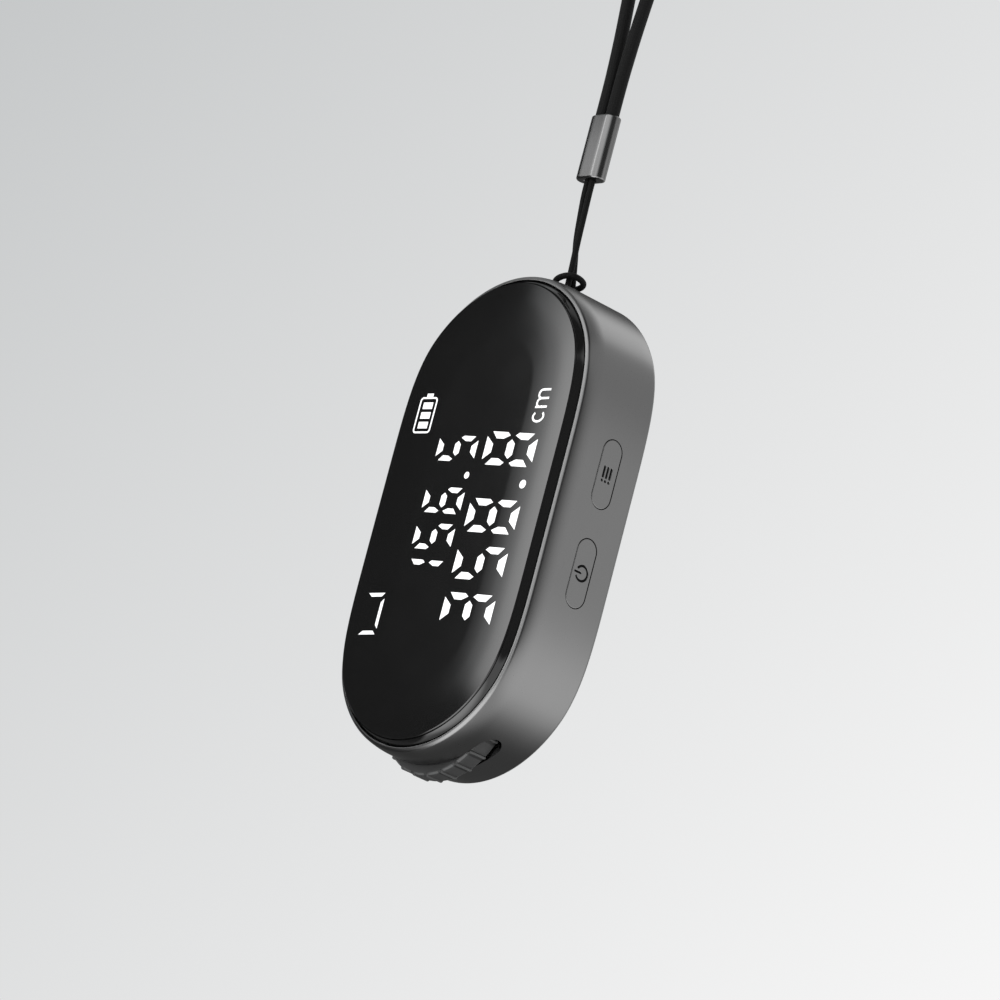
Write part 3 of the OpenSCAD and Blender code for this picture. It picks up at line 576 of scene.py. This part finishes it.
def figure(sign, base, start, scale, bar_share):
    """The plates of one figure: each bar drawn in a little towards its own middle."""
    bars, plates = figure_bars(), []
    for name in BARS[sign]:
        edges = np.asarray(bars[name])
        centre = edges.mean(axis=(0, 1))
        edges = scale * (centre + bar_share * (edges - centre))
        plates.append(plate(*(stations(reading(base, start, edge, figure_lean)) for edge in edges)))
    return plates


def dot(x, y, r):
    """A round plate: two half circles as its edges."""
    angle = np.linspace(0, np.pi, 13)
    edge = np.stack((r * np.sin(angle), -r * np.cos(angle)), axis=1)
    return plate(edge + (x, y), edge * (-1, 1) + (x, y))


# %% Lit figures
# Each row: its digits and where they start, their base, their scale, how much of a bar is lit, and the dot
figure_rows = {
    "large_figures": ("3588", (-20.13, -12.35, -4.6, 6.52), 14.74, 1.0, 0.945, (13.87, 3.81, 0.71)),
    "small_figures": ("1565", (-13.13, -7.03, -0.97, 7.69), 0.78, 0.785, 0.925, (0.08, 5.61, 0.56))}
for name, (digits, starts, base, scale, lit, spot) in figure_rows.items():
    plates = sum([figure(sign, base, start, scale, lit) for sign, start in zip(digits, starts)], [])
    place_piece(make_piece(name, plates + [dot(*spot)]), "housing", "film_white")

# %% [markdown]
# The small signs are drawn with strokes: a battery with three bars, the unit, and a corner bracket that
# says which end is measured from. A stroke is a ribbon of even width along a line.

# %% Strokes
def stroke(line, width, closed=False):
    """The two edges of an even ribbon: each point moved half the width to both sides of its line."""
    line = floats(line)
    ahead = np.roll(line, -1, axis=0) - np.roll(line, 1, axis=0) if closed else np.gradient(line, axis=0)
    side = np.stack((-ahead[:, 1], ahead[:, 0]), axis=1)
    side /= np.linalg.norm(side, axis=1, keepdims=True)
    return line + side * width / 2, line - side * width / 2


def sign_stroke(base, start, line, width):
    """A stroke in reading axes, laid on the window."""
    return plate(*(reading(base, start, edge) for edge in stroke(line, width)))


def round_frame(w, h, r, steps=8):
    """A rectangle with rounded corners from the origin, as a line round it."""
    corners = ((w - r, h - r, 0), (r, h - r, 90), (r, r, 180), (w - r, r, 270))
    return np.concatenate([arc((x, y), r, turn, turn + 90, steps) for x, y, turn in corners])


# %% Battery sign
cell_base, cell_start, cell_w, cell_h, cell_line, cell_lean = -11.76, 13.0, 6.1, 4.2, 0.28, 0.03
cell_corner, cell_bars, cell_knob = 0.55, (0.82, 2.46, 4.1), cell_w - 0.05


def on_cell(edge):
    """An edge in the battery sign's own reading axes, laid in the drawing."""
    return reading(cell_base, cell_start, edge, cell_lean)


def cell_block(left, wide, low, high):
    """A filled rectangle of the battery sign, between its lower and its upper edge."""
    edges = [((left, height), (left + wide, height)) for height in (low, high)]
    return plate(*(stations(on_cell(edge)) for edge in edges))


cell_frame = round_frame(cell_w - cell_line, cell_h - cell_line, cell_corner) + cell_line / 2
cell_edges = [on_cell(edge) for edge in stroke(cell_frame, cell_line, closed=True)]
cell = [plate(*(np.concatenate((edge, edge[:1])) for edge in cell_edges), closed=True)]
cell += [cell_block(left, wide=1.1, low=0.92, high=3.2) for left in cell_bars]
cell += [cell_block(cell_knob, wide=0.65, low=1.35, high=2.85)]
print("plates in the battery sign:", len(cell))

# %% Unit and corner signs
unit_base, unit_line, c_start, m_start, m_stem = 14.72, 0.35, 14.02, 16.42, 0.21
c_line = arc((0, 0), 1, 46, 314, 24) * (0.84, 1.19) + (1.02, 1.4)
m_arches = [
    np.concatenate((((at, 0.9), (at, 1.5)), arc((at + r, 1.72), r, 180, 0, 12), ((at + 2 * r, 0.0),)))
    for at, r in ((m_stem, 0.72), (1.65, 0.72))]
m_lines = [((m_stem, 0), (m_stem, 1.3), (m_stem, 2.62)), *m_arches]
unit = [sign_stroke(unit_base, c_start, c_line, unit_line)]
unit += [sign_stroke(unit_base, m_start, line, unit_line) for line in m_lines]

corner_base, corner_start, corner_w, corner_h = -11.83, -20.71, 6.9, 4.1
corner_arm = np.array((((0, corner_h), (0, 0.15)), ((0.6, corner_h - 0.85), (0.6, 0.85))))
corner_edges = (
    (((0.97, 0), (corner_w - 0.97, 0)), ((1.58, 0.62), (corner_w - 1.58, 0.62))),
    corner_arm, corner_arm * (-1, 1) + (corner_w, 0))
corner = [
    plate(*(stations(reading(corner_base, corner_start, edge)) for edge in pair)) for pair in corner_edges]
signs = {"battery_sign": cell, "unit_sign": unit, "corner_sign": corner}
for name, plates in signs.items():
    place_piece(make_piece(name, plates), "housing", "film_white")

# %% [markdown]
# The two keys sit flush in the side wall. Their signs are shallow engravings: three bars with dots for
# the menu, and an open ring with a bar for the power. A sign is a set of strokes; the distance from each
# point of the key's face to the nearest stroke gives the depth there, so one surface has face, engraving
# and soft edge together.

# %% Engraved signs
def from_stroke(p, a, b):
    """Distance of points p from a straight stroke between a and b: to the nearest place on it."""
    a, b = floats(a), floats(b)
    run = b - a
    share = np.clip(((p - a) @ run) / max(run @ run, 1e-9), 0, 1)
    return np.linalg.norm(p - a - share[..., None] * run, axis=-1)


def from_open_ring(p, centre, r, gap_degrees):
    """Distance of points from a ring that is open towards +across."""
    q = p - floats(centre)
    angle = np.abs(np.degrees(np.arctan2(q[..., 1], q[..., 0])))
    ends = r * np.array((np.cos(np.radians(gap_degrees)), np.sin(np.radians(gap_degrees))))
    to_end = np.linalg.norm(np.stack((q[..., 0], np.abs(q[..., 1])), axis=-1) - ends, axis=-1)
    return np.where(angle > gap_degrees, np.abs(np.linalg.norm(q, axis=-1) - r), to_end)


def menu_sign(p):
    """Three bars along the key, each with a dot at its lower end: how far each point is from ink."""
    ink_half, spacing, bar, spot = 0.2, 0.72, (-0.5, 1.05), (-1.16, -1.12)
    strokes = [((at, low), (at, high)) for at in (-spacing, 0, spacing) for low, high in (bar, spot)]
    return np.min([from_stroke(p, *ends) for ends in strokes], axis=0) - ink_half


def power_sign(p):
    """An open ring and a bar from its middle out through the opening."""
    ring_half, bar_half = 0.18, 0.16
    ring = from_open_ring(p, (-0.1, 0.05), 1.18, 36) - ring_half
    bar = from_stroke(p, (0.15, 0.05), (1.35, 0.05)) - bar_half
    return np.minimum(ring, bar)


# %% Keys
def key_cap(name, at, sign):
    """A pill with a soft edge; its face sinks by the engraving's depth where the sign is near."""
    soft, depth, edge = 0.12, 0.09, 0.05
    face = np.linspace(0, key_w / 2 - soft, 64)
    flange_gap, flange_t, flange_w, stem_low, stem_r = 0.2, 0.55, 0.5, 18.9, 1.2
    flange_top, flange_r = inner_wall - flange_gap, key_w / 2 + flange_w
    flange_low = flange_top - flange_t
    profile = np.concatenate((
        with_spine(
            key_half,
            np.column_stack((face, np.full(face.size, half_width))),
            arc((key_w / 2 - soft, half_width - soft), soft, 90, 0, 5)[1:],
            (key_w / 2, flange_top), (flange_r, flange_top), (flange_r, flange_low)),
        with_spine(0, (stem_r, flange_low), (stem_r, stem_low), (0, stem_low))))
    across, length, height = pill_surface(profile, pill_ring(turn_steps=36, run_steps=200))
    away = sign(np.stack((across, length), axis=-1))
    ink_and_painted_light = np.clip(0.5 - away / edge, 0, 1)
    ink_and_painted_light = ink_and_painted_light * ink_and_painted_light * (3 - 2 * ink_and_painted_light) * (height > half_width - 1e-6)
    grid = laid((across, length, height - depth * ink_and_painted_light), FACING_SIDE, (0, at, key_z))
    return make_piece(name, grid, sharp_degrees=50, marks=ink_and_painted_light)


for key, sign in {"menu": menu_sign, "power": power_sign}.items():
    cap = key_cap(key + "_cap", key_places[key + "_button"], sign)
    place_piece(cap, key + "_key", "button_grey", key + "_button")

# %% [markdown]
# The measuring wheel's tyre is moulded rubber with straight ribs across its tread. Between the ribs the
# tread has a small chamfer on both sides, and each rib runs full width past it. So the surface has two
# profiles, plain and ribbed, and a rib is half of an ellipse between them. The number kept at each point
# here paints highlights pale on crests and chamfers, and paints shade dark at the foot of a rib.

# %% Tyre profiles
wheel_low, wheel_high = drawn_box("wheel_tyre")
wheel_at = (0, *drawn_middle("wheel_tyre")[1:])
rib_count, rib_half, rib_h, rib_turn, rib_foot = 26, 0.29, 0.24, 3.8, 0.62
tread_r, chamfer, bore_r, ease, wider = 13.45, 0.3, 11.46, 0.06, 0.1
side = (wheel_high[2] - wheel_low[2]) / 2 + wider
# Half of the section as (reach, width), from the bore over the side to the middle of the tread
half_plain = np.array((
    (bore_r, side), (tread_r - 2, side), (tread_r - rib_foot, side), (tread_r - chamfer - ease, side),
    (tread_r - chamfer + ease, side - ease), (tread_r - ease, side - chamfer + ease),
    (tread_r, side - chamfer - ease), (tread_r, 0.7), (tread_r, 0)))
top = tread_r + rib_h
half_ribbed = half_plain.copy()
half_ribbed[3:] = (
    (top - 0.5, side), (top - 0.3, side), (top - 0.1, side - 0.08), (top, side - 0.26), (top, 0.7), (top, 0))
other_side = np.array((1, -1))
plain, ribbed = (
    np.concatenate((half * other_side, half[-2::-1], half[:1] * other_side))
    for half in (half_plain, half_ribbed))
print("points in the tyre's section:", len(plain))

# %% Ribbed tyre
pitch = 2 * np.pi * tread_r / rib_count
across_rib = rib_half * np.sin(np.linspace(-np.pi / 2, np.pi / 2, 11))
across_gap = np.array((0.4, 0.75, 1.2, 1.65, 2.1, pitch - 0.8, pitch - 0.72, pitch - 0.4))
places = np.concatenate((across_rib, across_gap))
turns = (np.arange(rib_count)[:, None] * pitch + places).ravel() / tread_r
turns = np.append(turns, turns[0] + 2 * np.pi) + np.radians(rib_turn - 90)
rise = np.sqrt(np.clip(1 - (places / rib_half)**2, 0, 1))
rise = np.append(np.tile(rise, rib_count), rise[0])
reach, width = np.moveaxis(plain[:, None] + rise[:, None] * (ribbed - plain)[:, None], -1, 0)
tyre_grid = np.stack((reach * np.cos(turns), reach * np.sin(turns), width), axis=-1)
# Painted shade lies at the places on both sides of a rib's foot
painted_rib_shade = np.zeros(places.size)
painted_rib_shade[[-2, -1, 0, 1, 2]] = 0.85, 0.95, 0.9, 0.6, 0.2
painted_rib_shade[[9, 10, 11]] = 0.3, 0.5, 0.2
painted_rib_shade = np.append(np.tile(painted_rib_shade, rib_count), painted_rib_shade[0])
# Rows 4 to 12 of the section are the tread, with a chamfer in its first and its last two
on_tread = np.isin(np.arange(len(plain)), np.arange(4, 13))
on_chamfer = np.isin(np.arange(len(plain)), (4, 5, 11, 12))
# Painted highlights on the crests and chamfers, less the painted shade at each rib's foot
painted_rib_light_and_shade = np.where(on_chamfer[:, None], 0.8 * (1 - rise), 0.45 * rise**3) - painted_rib_shade
tyre = make_piece("ribbed_tyre", tyre_grid + wheel_at, sharp_degrees=42, marks=painted_rib_light_and_shade * on_tread[:, None])
place_piece(tyre, "wheel", "tread_rubber", "wheel_tyre")

# %% [markdown]
# The crimped sleeve joins the strap and the thin cord. It was a tube, pressed flat, so its section is a
# pill with a flat front and back. Both ends are rounded and turn in to the mouths where the cords go in.

# %% Crimped sleeve
sleeve_r = (sleeve_high[2] - sleeve_low[2]) / 2
sleeve_half = (sleeve_high[0] - sleeve_low[0]) / 2 - sleeve_r
sleeve_len = sleeve_high[1] - sleeve_low[1]
sleeve_round, mouth_gap, mouth_deep, mouth_lip, mouth_ease = 0.35, 0.1, 1.9, 0.15, 0.12
sleeve_inside, strap_floor = sleeve_r - sleeve_round, sleeve_len - mouth_deep
cord_mouth_half, cord_mouth_r = 0.55, cord_d / 2 + mouth_gap
strap_mouth_half, strap_mouth_r = 1.2, strap_d / 2 + mouth_gap
sleeve_profile = np.concatenate((
    with_spine(
        cord_mouth_half, (0, mouth_deep), (cord_mouth_r, mouth_deep), (cord_mouth_r, mouth_lip),
        (cord_mouth_r + mouth_ease, 0)),
    with_spine(
        sleeve_half, arc((sleeve_inside, sleeve_round), sleeve_round, -90, 0, 8),
        arc((sleeve_inside, sleeve_len - sleeve_round), sleeve_round, 0, 90, 8)),
    with_spine(
        strap_mouth_half, (strap_mouth_r, sleeve_len), (strap_mouth_r, strap_floor), (0, strap_floor))))
sleeve_pill = pill_surface(sleeve_profile, pill_ring(turn_steps=40, run_steps=6))
sleeve_grid = laid(sleeve_pill, ALONG_END, (0, sleeve_low[1], strap_z))
sleeve = make_piece("crimped_sleeve", sleeve_grid, sharp_degrees=50)
place_piece(sleeve, "housing", "ferrule_metal", "ferrule")

# %% [markdown]
# A finish is a small graph of nodes. This class wraps one socket, so that arithmetic in Python adds Math
# nodes and an expression reads like the formula it stands for. Every other node comes from one method.

# %% Wires
def operator_pair(operation):
    """An operator and its reflected form, so that a number may stand on either side of a wire."""
    def forward(wire, other):
        return wire.maths(operation, wire, other)

    def reflected(wire, other):
        return wire.maths(operation, other, wire)
    return forward, reflected


class Wire:
    """A socket in a node tree, or the bare tree before anything is wired."""

    def __init__(self, tree, socket=None):
        self.tree = tree
        self.socket = socket

    def node(self, kind, settings=None, sockets=None, output=0):
        """Add a node: settings first, then values or wires by socket name or number; gives one output."""
        made = self.tree.nodes.new(kind)
        for key, value in (settings or {}).items():
            setattr(made, key, value)
        for key, value in (sockets or {}).items():
            if isinstance(value, Wire):
                self.tree.links.new(value.socket, made.inputs[key])
            else:
                made.inputs[key].default_value = value
        return Wire(self.tree, made.outputs[output] if len(made.outputs) else None)

    def maths(self, operation, *values):
        """A Math node on one or two values."""
        return self.node("ShaderNodeMath", {"operation": operation}, dict(enumerate(values)))

    __add__, __radd__ = operator_pair("ADD")
    __sub__, __rsub__ = operator_pair("SUBTRACT")
    __mul__, __rmul__ = operator_pair("MULTIPLY")
    __truediv__, __rtruediv__ = operator_pair("DIVIDE")

    def step(self, low, high):
        """A soft step: 0 up to low, 1 from high on, and smooth between."""
        names = {"Value": self, "From Min": low, "From Max": high}
        return self.node("ShaderNodeMapRange", {"interpolation_type": "SMOOTHSTEP"}, names)


# %% Helpers for finishes
def object_place(wire):
    """Object coordinates, in metres from the row's origin."""
    return wire.node("ShaderNodeTexCoord", output="Object")


def noise(wire, size_mm, detail, stretch=(1, 1, 1)):
    """Cloudy noise whose lumps are about the given size, drawn out along an axis by a stretch below one."""
    spot = wire.node("ShaderNodeVectorMath", {"operation": "MULTIPLY"}, {0: object_place(wire), 1: stretch})
    names = {"Vector": spot, "Scale": 1 / (size_mm * MM), "Detail": detail}
    return wire.node("ShaderNodeTexNoise", None, names)


def cells(wire, size_mm):
    """Distance to the nearest of scattered points that lie about the given size apart."""
    names = {"Vector": object_place(wire), "Scale": 1 / (size_mm * MM)}
    return wire.node("ShaderNodeTexVoronoi", None, names)


def blend_colour(wire, share, first, second):
    """Between two colours, by a share from 0 to 1."""
    return wire.node("ShaderNodeMix", {"data_type": "RGBA"}, {0: share, 6: first, 7: second}, output=2)


def ink_and_painted_light_number(wire):
    """The number that a piece keeps at each point of its mesh."""
    return wire.node("ShaderNodeAttribute", {"attribute_name": "ink_and_painted_light"}, output="Fac")


def bump(wire, height, depth_mm, strength):
    """A normal that leans as a height field of the given depth would."""
    names = {"Height": height, "Distance": depth_mm * MM, "Strength": strength}
    return wire.node("ShaderNodeBump", None, names)


def grey(level, warm=0.0):
    """A grey with a little warmth, as a colour with alpha."""
    return (level * (1 + warm), level, level * (1 - warm), 1)


finishes = {}


def finish(name, sockets_from):
    """A material whose shader sockets come from a function of the bare tree."""
    material = bpy.data.materials.new(name)
    material.use_nodes = True
    material.node_tree.nodes.clear()
    wire = Wire(material.node_tree)
    shader = wire.node("ShaderNodeBsdfPrincipled", None, sockets_from(wire))
    wire.node("ShaderNodeOutputMaterial", None, {"Surface": shader})
    finishes[name] = material
    print("finish", name, "has", len(material.node_tree.nodes), "nodes")


# %% [markdown]
# The housing and the keys have the same gunmetal finish: blasted, then coated, so it reads as dark metal
# with a tight soft gloss. Fine grain moves the roughness a little and a faint cloud moves the colour. On
# the keys, the engraved places are filled with dark paint, which the ink number at each point says.

# %% Gunmetal
GUNMETAL = 0.205


def gunmetal(wire):
    """Dark metal with fine grain, a faint cloud, and a rougher skin where the grain is high."""
    grain, cloud = noise(wire, size_mm=0.18, detail=2), noise(wire, size_mm=9, detail=2)
    tone = blend_colour(wire, cloud * 0.6 + grain * 0.4, grey(GUNMETAL * 0.95), grey(GUNMETAL * 1.05))
    return {
        "Base Color": tone, "Metallic": 1.0, "Roughness": grain * 0.05 + 0.26,
        "Normal": bump(wire, grain, depth_mm=0.004, strength=0.3)}


def key_metal(wire):
    """The same metal, with dark paint in the engraving."""
    sockets = gunmetal(wire)
    ink_and_painted_light = ink_and_painted_light_number(wire)
    sockets["Base Color"] = blend_colour(wire, ink_and_painted_light, sockets["Base Color"], grey(0.01))
    sockets["Roughness"] = sockets["Roughness"] + ink_and_painted_light * 0.3
    return sockets


finish("housing_grey", gunmetal)
finish("button_grey", key_metal)

# %% [markdown]
# The window is polished black acrylic. It is almost black all through, and what is seen of it is its
# reflection, so the finish is a dark body with a high gloss and only a trace of handling haze.

# %% Window black and lit white
def window_black(wire):
    """Black body under a hard gloss, with the least cloud of haze."""
    haze = noise(wire, size_mm=6, detail=3)
    return {
        "Base Color": blend_colour(wire, haze, grey(0.008), grey(0.01)), "Roughness": haze * 0.02 + 0.05,
        "IOR": 1.7}


def lit_white(wire):
    """White light through a film, a touch uneven as between two lamps."""
    uneven = noise(wire, size_mm=2.5, detail=1)
    return {
        "Base Color": grey(0.8), "Roughness": 0.5, "Emission Strength": 1.0,
        "Emission Color": blend_colour(wire, uneven, grey(0.93), grey(1.0))}


finish("lens_black", window_black)
finish("film_white", lit_white)

# %% [markdown]
# Rubber and plastics are moulded: a fine even skin from the tool, a little colour drift, and a soft
# gloss. One function makes them all, from a level, a grain size and a roughness, because that is how they
# differ.

# %% Moulded finishes
def moulded(level, grain_mm, roughness, depth_mm, warm=0.0, drift=0.12):
    """A finish function for a moulded part: drifted colour, grain in the gloss, and a fine skin."""
    def sockets_from(wire):
        grain, cloud = noise(wire, grain_mm, 3), noise(wire, grain_mm * 30, 2)
        tone = blend_colour(wire, cloud, grey(level * (1 - drift), warm), grey(level * (1 + drift), warm))
        return {
            "Base Color": tone, "Roughness": grain * 0.12 + roughness - 0.06,
            "Normal": bump(wire, grain, depth_mm, 0.5)}
    return sockets_from


def tread_rubber(wire):
    """Moulded rubber with a painted highlight where the number is above nothing and painted shade where it
    is below.
    """
    sockets = moulded(0.05, 0.12, 0.55, 0.01)(wire)
    ink_and_painted_light = ink_and_painted_light_number(wire)
    with_painted_highlight = blend_colour(wire, wire.maths("MAXIMUM", ink_and_painted_light, 0), sockets["Base Color"], grey(0.17))
    sockets["Base Color"] = blend_colour(wire, wire.maths("MAXIMUM", ink_and_painted_light * -1, 0), with_painted_highlight, grey(0.008))
    return sockets


finish("tread_rubber", tread_rubber)
# Level, grain in mm, roughness, and depth of the skin in mm
finish("hub_plastic", moulded(0.03, 0.2, 0.45, 0.008))
finish("chassis_plastic", moulded(0.04, 0.25, 0.5, 0.012))
finish("white_plastic", moulded(0.75, 0.3, 0.4, 0.006, warm=0.01, drift=0.03))
finish("chip_black", moulded(0.02, 0.1, 0.5, 0.006))
finish("gasket_foam", moulded(0.025, 0.35, 0.85, 0.08))
finish("tape_tan", moulded(0.4, 0.5, 0.35, 0.01, warm=0.35))
finish("led_yellow", moulded(0.7, 0.2, 0.3, 0.004, warm=0.2, drift=0.04))

# %% [markdown]
# The bare metals inside differ in colour and in the lines that turning or rolling leaves. The noise is
# drawn out along one axis, which gives the fine parallel scratches of a worked surface.

# %% Bare metals
def bare_metal(colour, roughness, line_mm, stretch, marks=0.16):
    """A finish function for bare metal: drawn-out scratches in the gloss and a slight drift of colour."""
    def sockets_from(wire):
        lines, cloud = noise(wire, line_mm, 2, stretch), noise(wire, 4, 2)
        darker = tuple(0.86 * part for part in colour) + (1,)
        return {
            "Base Color": blend_colour(wire, cloud, darker, colour + (1,)), "Metallic": 1.0,
            "Roughness": lines * marks + roughness - marks / 2,
            "Normal": bump(wire, lines, 0.04 * marks, 0.4)}
    return sockets_from


# Colour, roughness, width of the lines in mm, and how the noise is drawn out
finish("bright_steel", bare_metal((0.62, 0.62, 0.63), 0.25, 0.12, (1, 0.1, 1)))
finish("magnet_grey", bare_metal((0.4, 0.4, 0.42), 0.3, 0.2, (1, 1, 1)))
finish("bush_bronze", bare_metal((0.6, 0.38, 0.18), 0.38, 0.2, (1, 0.2, 1)))
finish("battery_foil", bare_metal((0.6, 0.6, 0.61), 0.35, 0.5, (1, 1, 0.2)))
finish("ferrule_metal", bare_metal((0.21, 0.21, 0.21), 0.22, 0.4, (1, 1, 0.06), 0.02))

# %% [markdown]
# The circuit boards carry copper tracks under green lacquer. A stepped cell pattern gives blocks of
# tracks and bare ground between them, a little raised and lighter.

# %% Circuit board
def board_green(wire):
    """Lacquer over tracks: cells cut off at a level are copper fields, lighter and slightly raised."""
    track = cells(wire, 1.6).step(0.3, 0.36)
    fine = noise(wire, size_mm=0.3, detail=2)
    green = blend_colour(wire, track, (0.01, 0.1, 0.03, 1), (0.02, 0.16, 0.05, 1))
    return {
        "Base Color": green, "Roughness": fine * 0.1 + 0.28, "Normal": bump(wire, track, 0.02, 0.6)}


finish("board_green", board_green)

# %% [markdown]
# Strap and cord are braided tubes. On their UV map u goes once round and v counts millimetres, so two
# waves that climb in opposite directions cross in the diamonds of a braid. The bump lifts each diamond,
# and painted shade darkens the colour in the valleys between.

# %% Braids
def braid(level, strands, lay_mm, depth_mm):
    """A finish function for a braid: the product of two opposite spirals, as height and as painted shade in
    the colour.
    """
    def sockets_from(wire):
        place = wire.node("ShaderNodeTexCoord", output="UV")
        turn = wire.node("ShaderNodeSeparateXYZ", None, {0: place}, output="X") * (2 * np.pi * strands)
        climb = wire.node("ShaderNodeSeparateXYZ", None, {0: place}, output="Y") * (2 * np.pi / lay_mm)
        one, other = wire.maths("SINE", turn + climb), wire.maths("SINE", turn - climb)
        lift = one * other * 0.5 + 0.5
        fuzz = noise(wire, size_mm=0.12, detail=3)
        # Painted shade: the colour is darker in the valleys between the diamonds; the fuzz is the yarn's own
        # uneven tone
        tone = blend_colour(wire, lift * 0.7 + fuzz * 0.3, grey(level * 0.6), grey(level * 1.3))
        return {
            "Base Color": tone, "Roughness": fuzz * 0.15 + 0.68, "Specular IOR Level": 0.2,
            "Sheen Weight": 0.03, "Sheen Roughness": 0.5,
            "Normal": bump(wire, lift * 0.8 + fuzz * 0.2, depth_mm, 0.6)}
    return sockets_from


# Level, strands round, length of a lay in mm, and depth in mm
finish("strap_black", braid(0.007, 8, 0.8, 0.05))
finish("cord_black", braid(0.004, 6, 0.5, 0.04))

# %% [markdown]
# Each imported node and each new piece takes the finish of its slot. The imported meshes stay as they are.

# %% Finishes to pieces
def wear(piece, slot):
    """Give a piece one finish over its whole mesh."""
    piece.data.materials.clear()
    piece.data.materials.append(finishes[slot])


for subpart in frame["record"]["subparts"]:
    wear(frame["nodes"][subpart["node"]], subpart["material_slot"])
for piece, slot in slot_of.items():
    wear(piece, slot)
print("finishes:", len(finishes), "new pieces:", len(slot_of))

# %% [markdown]
# The portrait was lit like a product in a light tent: a large lamp in front of the window, one above and
# one low, both behind the right side, and dark flags between them that shape the metal. All of them are
# soft patches in the world, painted one over the other on the pale backdrop by the angle from their
# middles. Only gloss sees them; the camera sees the bare backdrop, and matt surfaces get its even light.

# %% Soft patches
def along_direction(wire, axis):
    """How far a ray's direction points along an axis, as a cosine."""
    names = {0: wire.node("ShaderNodeTexCoord", output="Generated"), 1: tuple(axis)}
    return wire.node("ShaderNodeVectorMath", {"operation": "DOT_PRODUCT"}, names, output="Value")


def towards(azimuth_degrees, elevation_degrees):
    """A unit vector from angles: azimuth counted from +X towards +Y, elevation up."""
    a, b = np.radians((azimuth_degrees, elevation_degrees))
    return np.array((np.cos(b) * np.cos(a), np.cos(b) * np.sin(a), np.sin(b)))


def soft_patch(wire, axis, inside, outside):
    """1 within an angle of an axis and 0 beyond a wider one."""
    return along_direction(wire, axis).step(np.cos(np.radians(outside)), np.cos(np.radians(inside)))


# %% World
world = bpy.data.worlds.new("studio")
world.use_nodes = True
world.node_tree.nodes.clear()
scene.world = world
sky = Wire(world.node_tree)
corner_spread = frame_px / focal_px / np.sqrt(2)
sweep = along_direction(sky, (right - up) / np.sqrt(2)) / (2 * corner_spread) + 0.5
backdrop = blend_colour(sky, sweep, (0.565, 0.578, 0.584, 1), (0.922, 0.922, 0.922, 1))
# Each patch: azimuth and elevation of its middle, the angles where it begins and ends to fade, its level
patches = {
    "tent wall": (45, 25, 25, 60, 0.64), "floor glow": (-80, -55, 22, 45, 2.7),
    "front lamp": (-92, 6, 25, 52, 1.6), "front lamp, low": (-100, -26, 8, 28, 2.8),
    "front lamp, high": (-98, 44, 8, 30, 2.0), "front lamp, left": (-128.4, 16, 6, 12, 3.0),
    "flag below left": (-165, -38, 25, 31, 0.06), "flag in front": (-90, -2, 8, 14, 0.2),
    "lamp above": (106, 50, 6, 25, 1.75), "lamp below": (40, -16, 10, 37, 1.55),
    "flag below": (112, -48, 13, 44, 0.15), "flag behind": (138, 23, 12, 36, 0.05),
    "flag low behind": (155, -20, 15, 38, 0.1), "flag at the right": (-12, 14, 25, 33, 0.1),
    "flag at the left": (-162, 11, 21.55, 22.2, 0.06), "flag low at the left": (-147, -8, 20.9, 21.8, 0.06),
    "flag overhead": (-90, 88, 28, 42, 0.35), "flag high at the right": (-25, 66, 16, 28, 0.05)}
studio = backdrop
for turn, lift, inside, outside, level in patches.values():
    studio = blend_colour(sky, soft_patch(sky, towards(turn, lift), inside, outside), studio, grey(level))
is_gloss = sky.node("ShaderNodeLightPath", output="Is Glossy Ray")
shown = blend_colour(sky, is_gloss, backdrop, studio)
sky.node("ShaderNodeOutputWorld", None, {
    "Surface": sky.node("ShaderNodeBackground", None, {"Color": shown, "Strength": 1.0})})
print("soft patches:", len(patches))

# %% [markdown]
# A pale floor lies well below, out of the portrait, and carries the other views. Gloss doesn't see it,
# because the world already has the light that comes from below.

# %% Floor
floor_height, floor_steps = -0.45, 64
radius = np.array((0.0, 0.15, 0.5, 1.5, 6.0))[:, None]
angle = np.linspace(0, 2 * np.pi, floor_steps + 1)
floor_points = np.stack(np.broadcast_arrays(
    radius * np.cos(angle), radius * np.sin(angle), floor_height), axis=-1)
floor_mesh = bpy.data.meshes.new("floor")
floor_mesh.from_pydata(floor_points.reshape(-1, 3), [], grid_faces(*floor_points.shape[:2])[:, ::-1])
floor = bpy.data.objects.new("floor", floor_mesh)
floor.visible_glossy = False
scene.collection.objects.link(floor)


def paper(wire):
    """Matt white paper with a faint cloud."""
    cloud = noise(wire, size_mm=40, detail=2)
    return {"Base Color": blend_colour(wire, cloud, grey(0.9), grey(0.94)), "Roughness": 0.9}


finish("floor_paper", paper)
floor_mesh.materials.append(finishes["floor_paper"])
print("floor at", floor_height, "m")
